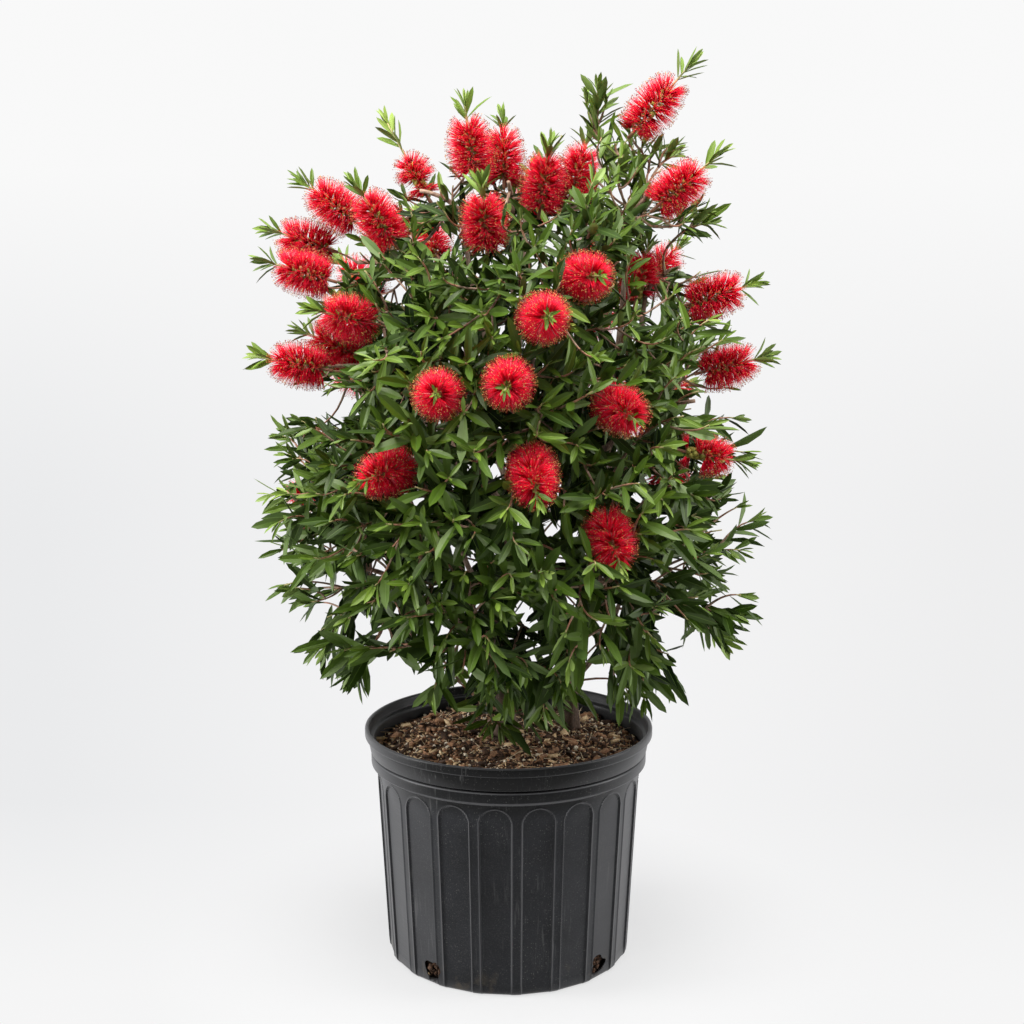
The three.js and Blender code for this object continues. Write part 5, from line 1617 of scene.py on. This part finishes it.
rng = np.random.default_rng(5)
leaf_parts = {tier: [] for tier in TIERS}
for twig in twigs:
    tip = twig["tip"]
    if tip is None:
        if tier_of(twig["mass"]) not in LEAFY_STEMS:
            continue
        tip = shoot(900, twig["line"][-1], (0, 0, 1))
    leaves = leaf_run(twig["line"], tip["item"], 2.0 if tip["bloom"] else 0.8, bool(tip["bloom"]))
    if not leaves:
        continue
    tier = tier_of(twig["mass"])
    low = np.clip((DROOP_TOP - tip["place"][2]) / DROOP_HEIGHT, 0, 1)
    hang = max(chance(tip["item"], 73), float(tip["kept"]))
    droop = LEAST_DROOP + (LOW_DROOP + DROOP_STRAY * hang) * low
    grown = np.interp(tip["place"][2], *zip(*LEAF_LENGTH))
    *rows, ranks = leaf_rows(leaves, rng, droop, grown * between(0.84, 1.12, chance(tip["item"], 71)))
    reach = np.hypot(rows[0][:, 0], rows[0][:, 1]) / np.interp(rows[0][:, 2], *zip(*CROWN_OUTLINE))
    if tip["kept"]:
        reach = np.maximum(reach, SPRAY_REACH)
    # Shoots deep in the crown take darker greens: painted shade.
    tone = TONE + TONE_STRAY * chance(tip["item"], 70) + SHADE_BY_REACH * (reach - MIDDLE_REACH)
    tone += (tip["place"][2] - MIDDLE_HEIGHT) / TONE_HEIGHT
    if twig["mass"] == "foot_sprig":
        tone = np.maximum(tone, between(*FOOT_TONES, chance(tip["item"], 70)))
    if tip["kept"] and tip["place"][2] > HIGH_SPRAY:
        tone += HIGH_TONE
    fresh = np.clip(TIP_TONE - TONE_BY_RANK * ranks, 0, 2) + rng.uniform(-0.5, 0.5, len(ranks))
    greens = np.clip(np.round(np.clip(tone, 0, MOST_TONE) + fresh), 0, len(GREENS) - 1)
    leaf_parts[tier].append((rows, greens))

for tier, parts in leaf_parts.items():
    piece = leaf_piece("leaves_" + tier, parts, True)
    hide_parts(*("foliage_" + name for name in MASSES if tier_of(name) == tier))
    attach(piece, "root")


# ---- Blossom ----
# Each bloom is a spike of small cups round the shoot. Every cup that isn't spent throws out a tuft of
# crimson stamens tipped with gold or dark red. The shoot runs on through it into young leaves.

CUPS_PER_BLOOM = 42
STAMENS_PER_CUP = 35
BACK_STAMENS_PER_CUP = 18
BARREL_FOOT, BARREL_TIP = 10.0, 13.0
STAMEN_LENGTH = 18.4
STAMEN_STRAY, STAMEN_ROUNDING = (0.86, 1.06), 0.2
STAMEN_SHARES, ANTHER_SHARES = (0.16, 0.48, 0.31, 0.05), (0.4, 0.6)
SPENT_SHARE = 0.35
STAMEN_STEPS = 2
STAMEN_RADIUS = 0.33
CUP_LEANS = (-14, 64)
CUP_OFFSET = 1.2
CUP_LENGTH, CUP_MOUTH, SPENT_CUP = 4.0, 1.9, 1.5
STAMEN_START, STAMEN_RIM = 3.7, 1.4
STAMEN_SPLAY = 38
STAMEN_TAPER = (1.25, 0.9, 0.5)
ANTHER_SIZES = (0.34, 0.54)
TUFT_STALK = 8.0
TUFT_LEAVES = 12
TUFT_STEP = 1.1
TUFT_RADII = (1.7, 0.8)
TUFT_GREEN_BAND = 5
TUFT_LEANS, TUFT_SIZES = (8, 3.4), (0.72, 0.03)
TUFT_TONES, TUFT_TONE_BY_RANK = (3.8, 5.2), 0.12
YOUNG_LEAF = 26.0


def blossom_finish(name, color, roughness=0.5):
    material, shader = finish_named(name, color, roughness)
    shader.inputs["Specular IOR Level"].default_value = 0.12
    return material


stamen_finishes = [
    blossom_finish("stamen_deep", (0.74, 0.003, 0.02)),
    blossom_finish("stamen_crimson", (0.84, 0.005, 0.031)),
    blossom_finish("stamen_bright", (0.8, 0.03, 0.068)),
    blossom_finish("stamen_pink", (0.72, 0.19, 0.2)),
]
anther_finishes = [
    blossom_finish("anther_gold", (0.6, 0.31, 0.1)),
    blossom_finish("anther_dark", (0.3, 0.01, 0.02)),
]
cup_finishes = [
    blossom_finish("cup_green", (0.36, 0.34, 0.08)),
    blossom_finish("cup_tan", (0.45, 0.17, 0.08)),
]
STAMEN_FACES = [(2, 1, 0), *band(0, 3, 3), (3, 4, 6), (4, 5, 6), (5, 3, 6)]
ANTHER_FACES = [(2, 1, 0), (0, 1, 3), (1, 2, 3), (2, 0, 3)]
CUP_SIDES = 6
CUP_FACES = tube_faces(CUP_SIDES, 2)

rng = np.random.default_rng(9)
stamen_parts, anther_parts, cup_parts = ({tier: [] for tier in TIERS} for _ in range(3))
tuft_lines, tuft_leaves = [], []
for twig in twigs:
    tip = twig["tip"]
    if tip is None or not tip["bloom"]:
        continue
    tier = tier_of(twig["mass"])
    foot, axis = tip["place"], tip["heading"]
    length, young = tip["bloom"]["length"], tip["bloom"]["young"]

    # The cups, in a spiral round the shoot. The last ones lean forward.
    order = np.arange(CUPS_PER_BLOOM)
    share = (order + 0.5) / CUPS_PER_BLOOM
    turn = np.radians(order * GOLDEN_ANGLE + 360 * chance(tip["item"], 80))
    side = unit(np.cross(axis, SECTION_FACING))
    out = swung(side, np.cross(axis, side), turn)
    rise = np.radians(CUP_LEANS[0] + CUP_LEANS[1] * share**2)
    cup_way = unit(swung(out, axis, rise))
    along = BARREL_FOOT + share * (length - BARREL_FOOT - BARREL_TIP)
    cup_foot = foot + axis * along[:, None] + out * CUP_OFFSET
    cup_side = unit(np.cross(cup_way, axis + 0.01))
    cup_up = np.cross(cup_way, cup_side)
    bare = rng.uniform(0, 1, CUPS_PER_BLOOM) < tip["bloom"]["bare"] * (1.5 - share)
    spin = np.arange(CUP_SIDES) * 2 * np.pi / CUP_SIDES
    ring = cup_side[:, None, :] * np.cos(spin)[:, None] + cup_up[:, None, :] * np.sin(spin)[:, None]
    ring = ring * np.where(bare, SPENT_CUP, 1.0)[:, None, None]
    cups = np.concatenate([cup_foot[:, None, :] + ring,
                           (cup_foot + cup_way * CUP_LENGTH)[:, None, :] + ring * CUP_MOUTH], 1)
    cup_parts[tier].append((cups, np.where(bare, 0, rng.choice(2, CUPS_PER_BLOOM))))

    # The stamens, in a spreading tuft from every cup that still has them.
    faced = tip["bloom"]["faced"]
    which = np.repeat(order[~bare], STAMENS_PER_CUP if faced else BACK_STAMENS_PER_CUP)
    count = len(which)
    swing = rng.uniform(0, 2 * np.pi, count)
    spread = np.sqrt(rng.uniform(0, 1, count))
    rim = cup_side[which] * np.cos(swing)[:, None] + cup_up[which] * (0.6 * np.sin(swing))[:, None]
    start = cup_foot[which] + cup_way[which] * STAMEN_START + rim * (STAMEN_RIM * spread)[:, None]
    splay = np.radians(STAMEN_SPLAY) * spread
    heading = unit(swung(cup_way[which], rim, splay))
    reach = STAMEN_LENGTH * rng.uniform(*STAMEN_STRAY, count)
    reach *= 1 - STAMEN_ROUNDING * (2 * share[which] - 1) ** 2
    reach *= 1 - SPENT_SHARE * tip["bloom"]["bare"]
    bend_side = unit(rim - heading * (rim * heading).sum(1)[:, None] + 1e-4)
    radii = np.array([STAMEN_TAPER]) * STAMEN_RADIUS * rng.uniform(0.85, 1.15, (count, 1))
    curls = -rng.uniform(0.05, 0.5, count)
    rings = threads(start, heading, bend_side, reach, curls, radii, STAMEN_STEPS)
    ends = rings[:, -3:].mean(1)
    stamens = np.concatenate([rings[:, :-3], ends[:, None, :]], 1)
    stamen_parts[tier].append((stamens, rng.choice(len(STAMEN_SHARES), count, p=STAMEN_SHARES)))

    # An anther on the end of every stamen.
    way = unit(ends - rings[:, -6:-3].mean(1))
    across = unit(np.cross(way, rng.normal(size=way.shape)))
    up = np.cross(way, across)
    size = rng.uniform(*ANTHER_SIZES, count)[:, None]
    ring = [ends + (across * x + up * y - way * 0.8) * size for x, y in RING]
    anthers = np.stack([*ring, ends + way * size * 1.5], 1)
    anther_parts[tier].append((anthers, rng.choice(len(ANTHER_SHARES), count, p=ANTHER_SHARES)))

    # The shoot goes on through the bloom and ends in its young leaves.
    longer = max(0.0, young - YOUNG_LEAF)
    end = foot + axis * (length + TUFT_STALK * young / USUAL_YOUNG + longer)
    tuft_lines.append(bowed(foot - axis * 1.5, foot + axis * length * 0.6, end, 10))
    tuft_leaves.append((tip, [
        (end - axis * (TUFT_STEP + longer / TUFT_LEAVES) * rank, axis,
         360 * chance(tip["item"], 81) + rank * GOLDEN_ANGLE, rank)
        for rank in range(TUFT_LEAVES)
    ]))

shoot_tubes = tubes([spaced(line, ring_shares) for line in tuft_lines],
                    [between(*TUFT_RADII, ring_shares)] * len(tuft_lines))
first_green = END_FACES + TUFT_GREEN_BAND * TWIG_SIDES
shoot_colors = np.where(np.arange(len(twig_faces)) < first_green, 1, 2)[None, :]
shoot_piece = joined("bloom_shoots", shoot_tubes, twig_faces, twig_finishes, shoot_colors)
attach(shoot_piece, "root")

rows_of_tufts = []
for tip, leaves in tuft_leaves:
    young = min(tip["bloom"]["young"], YOUNG_LEAF)
    *rows, ranks = leaf_rows(leaves, rng, 0.0, young, TUFT_LEANS, TUFT_SIZES)
    tone = between(*TUFT_TONES, chance(tip["item"], 82)) - TUFT_TONE_BY_RANK * ranks
    tone = np.clip(np.round(tone), 2, len(GREENS) - 1)
    rows_of_tufts.append((rows, tone))
tuft_piece = leaf_piece("bloom_leaves", rows_of_tufts, False)
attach(tuft_piece, "root")

for name, parts, shape_faces, finishes in (
        ("stamens_", stamen_parts, STAMEN_FACES, stamen_finishes),
        ("anthers_", anther_parts, ANTHER_FACES, anther_finishes),
        ("cups_", cup_parts, CUP_FACES, cup_finishes)):
    for tier, rows in parts.items():
        if rows:
            corners = np.concatenate([row[0] for row in rows])
            tones = np.concatenate([row[1] for row in rows])
            piece = joined(name + tier, corners, shape_faces, finishes, tones[:, None])
            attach(piece, "root")
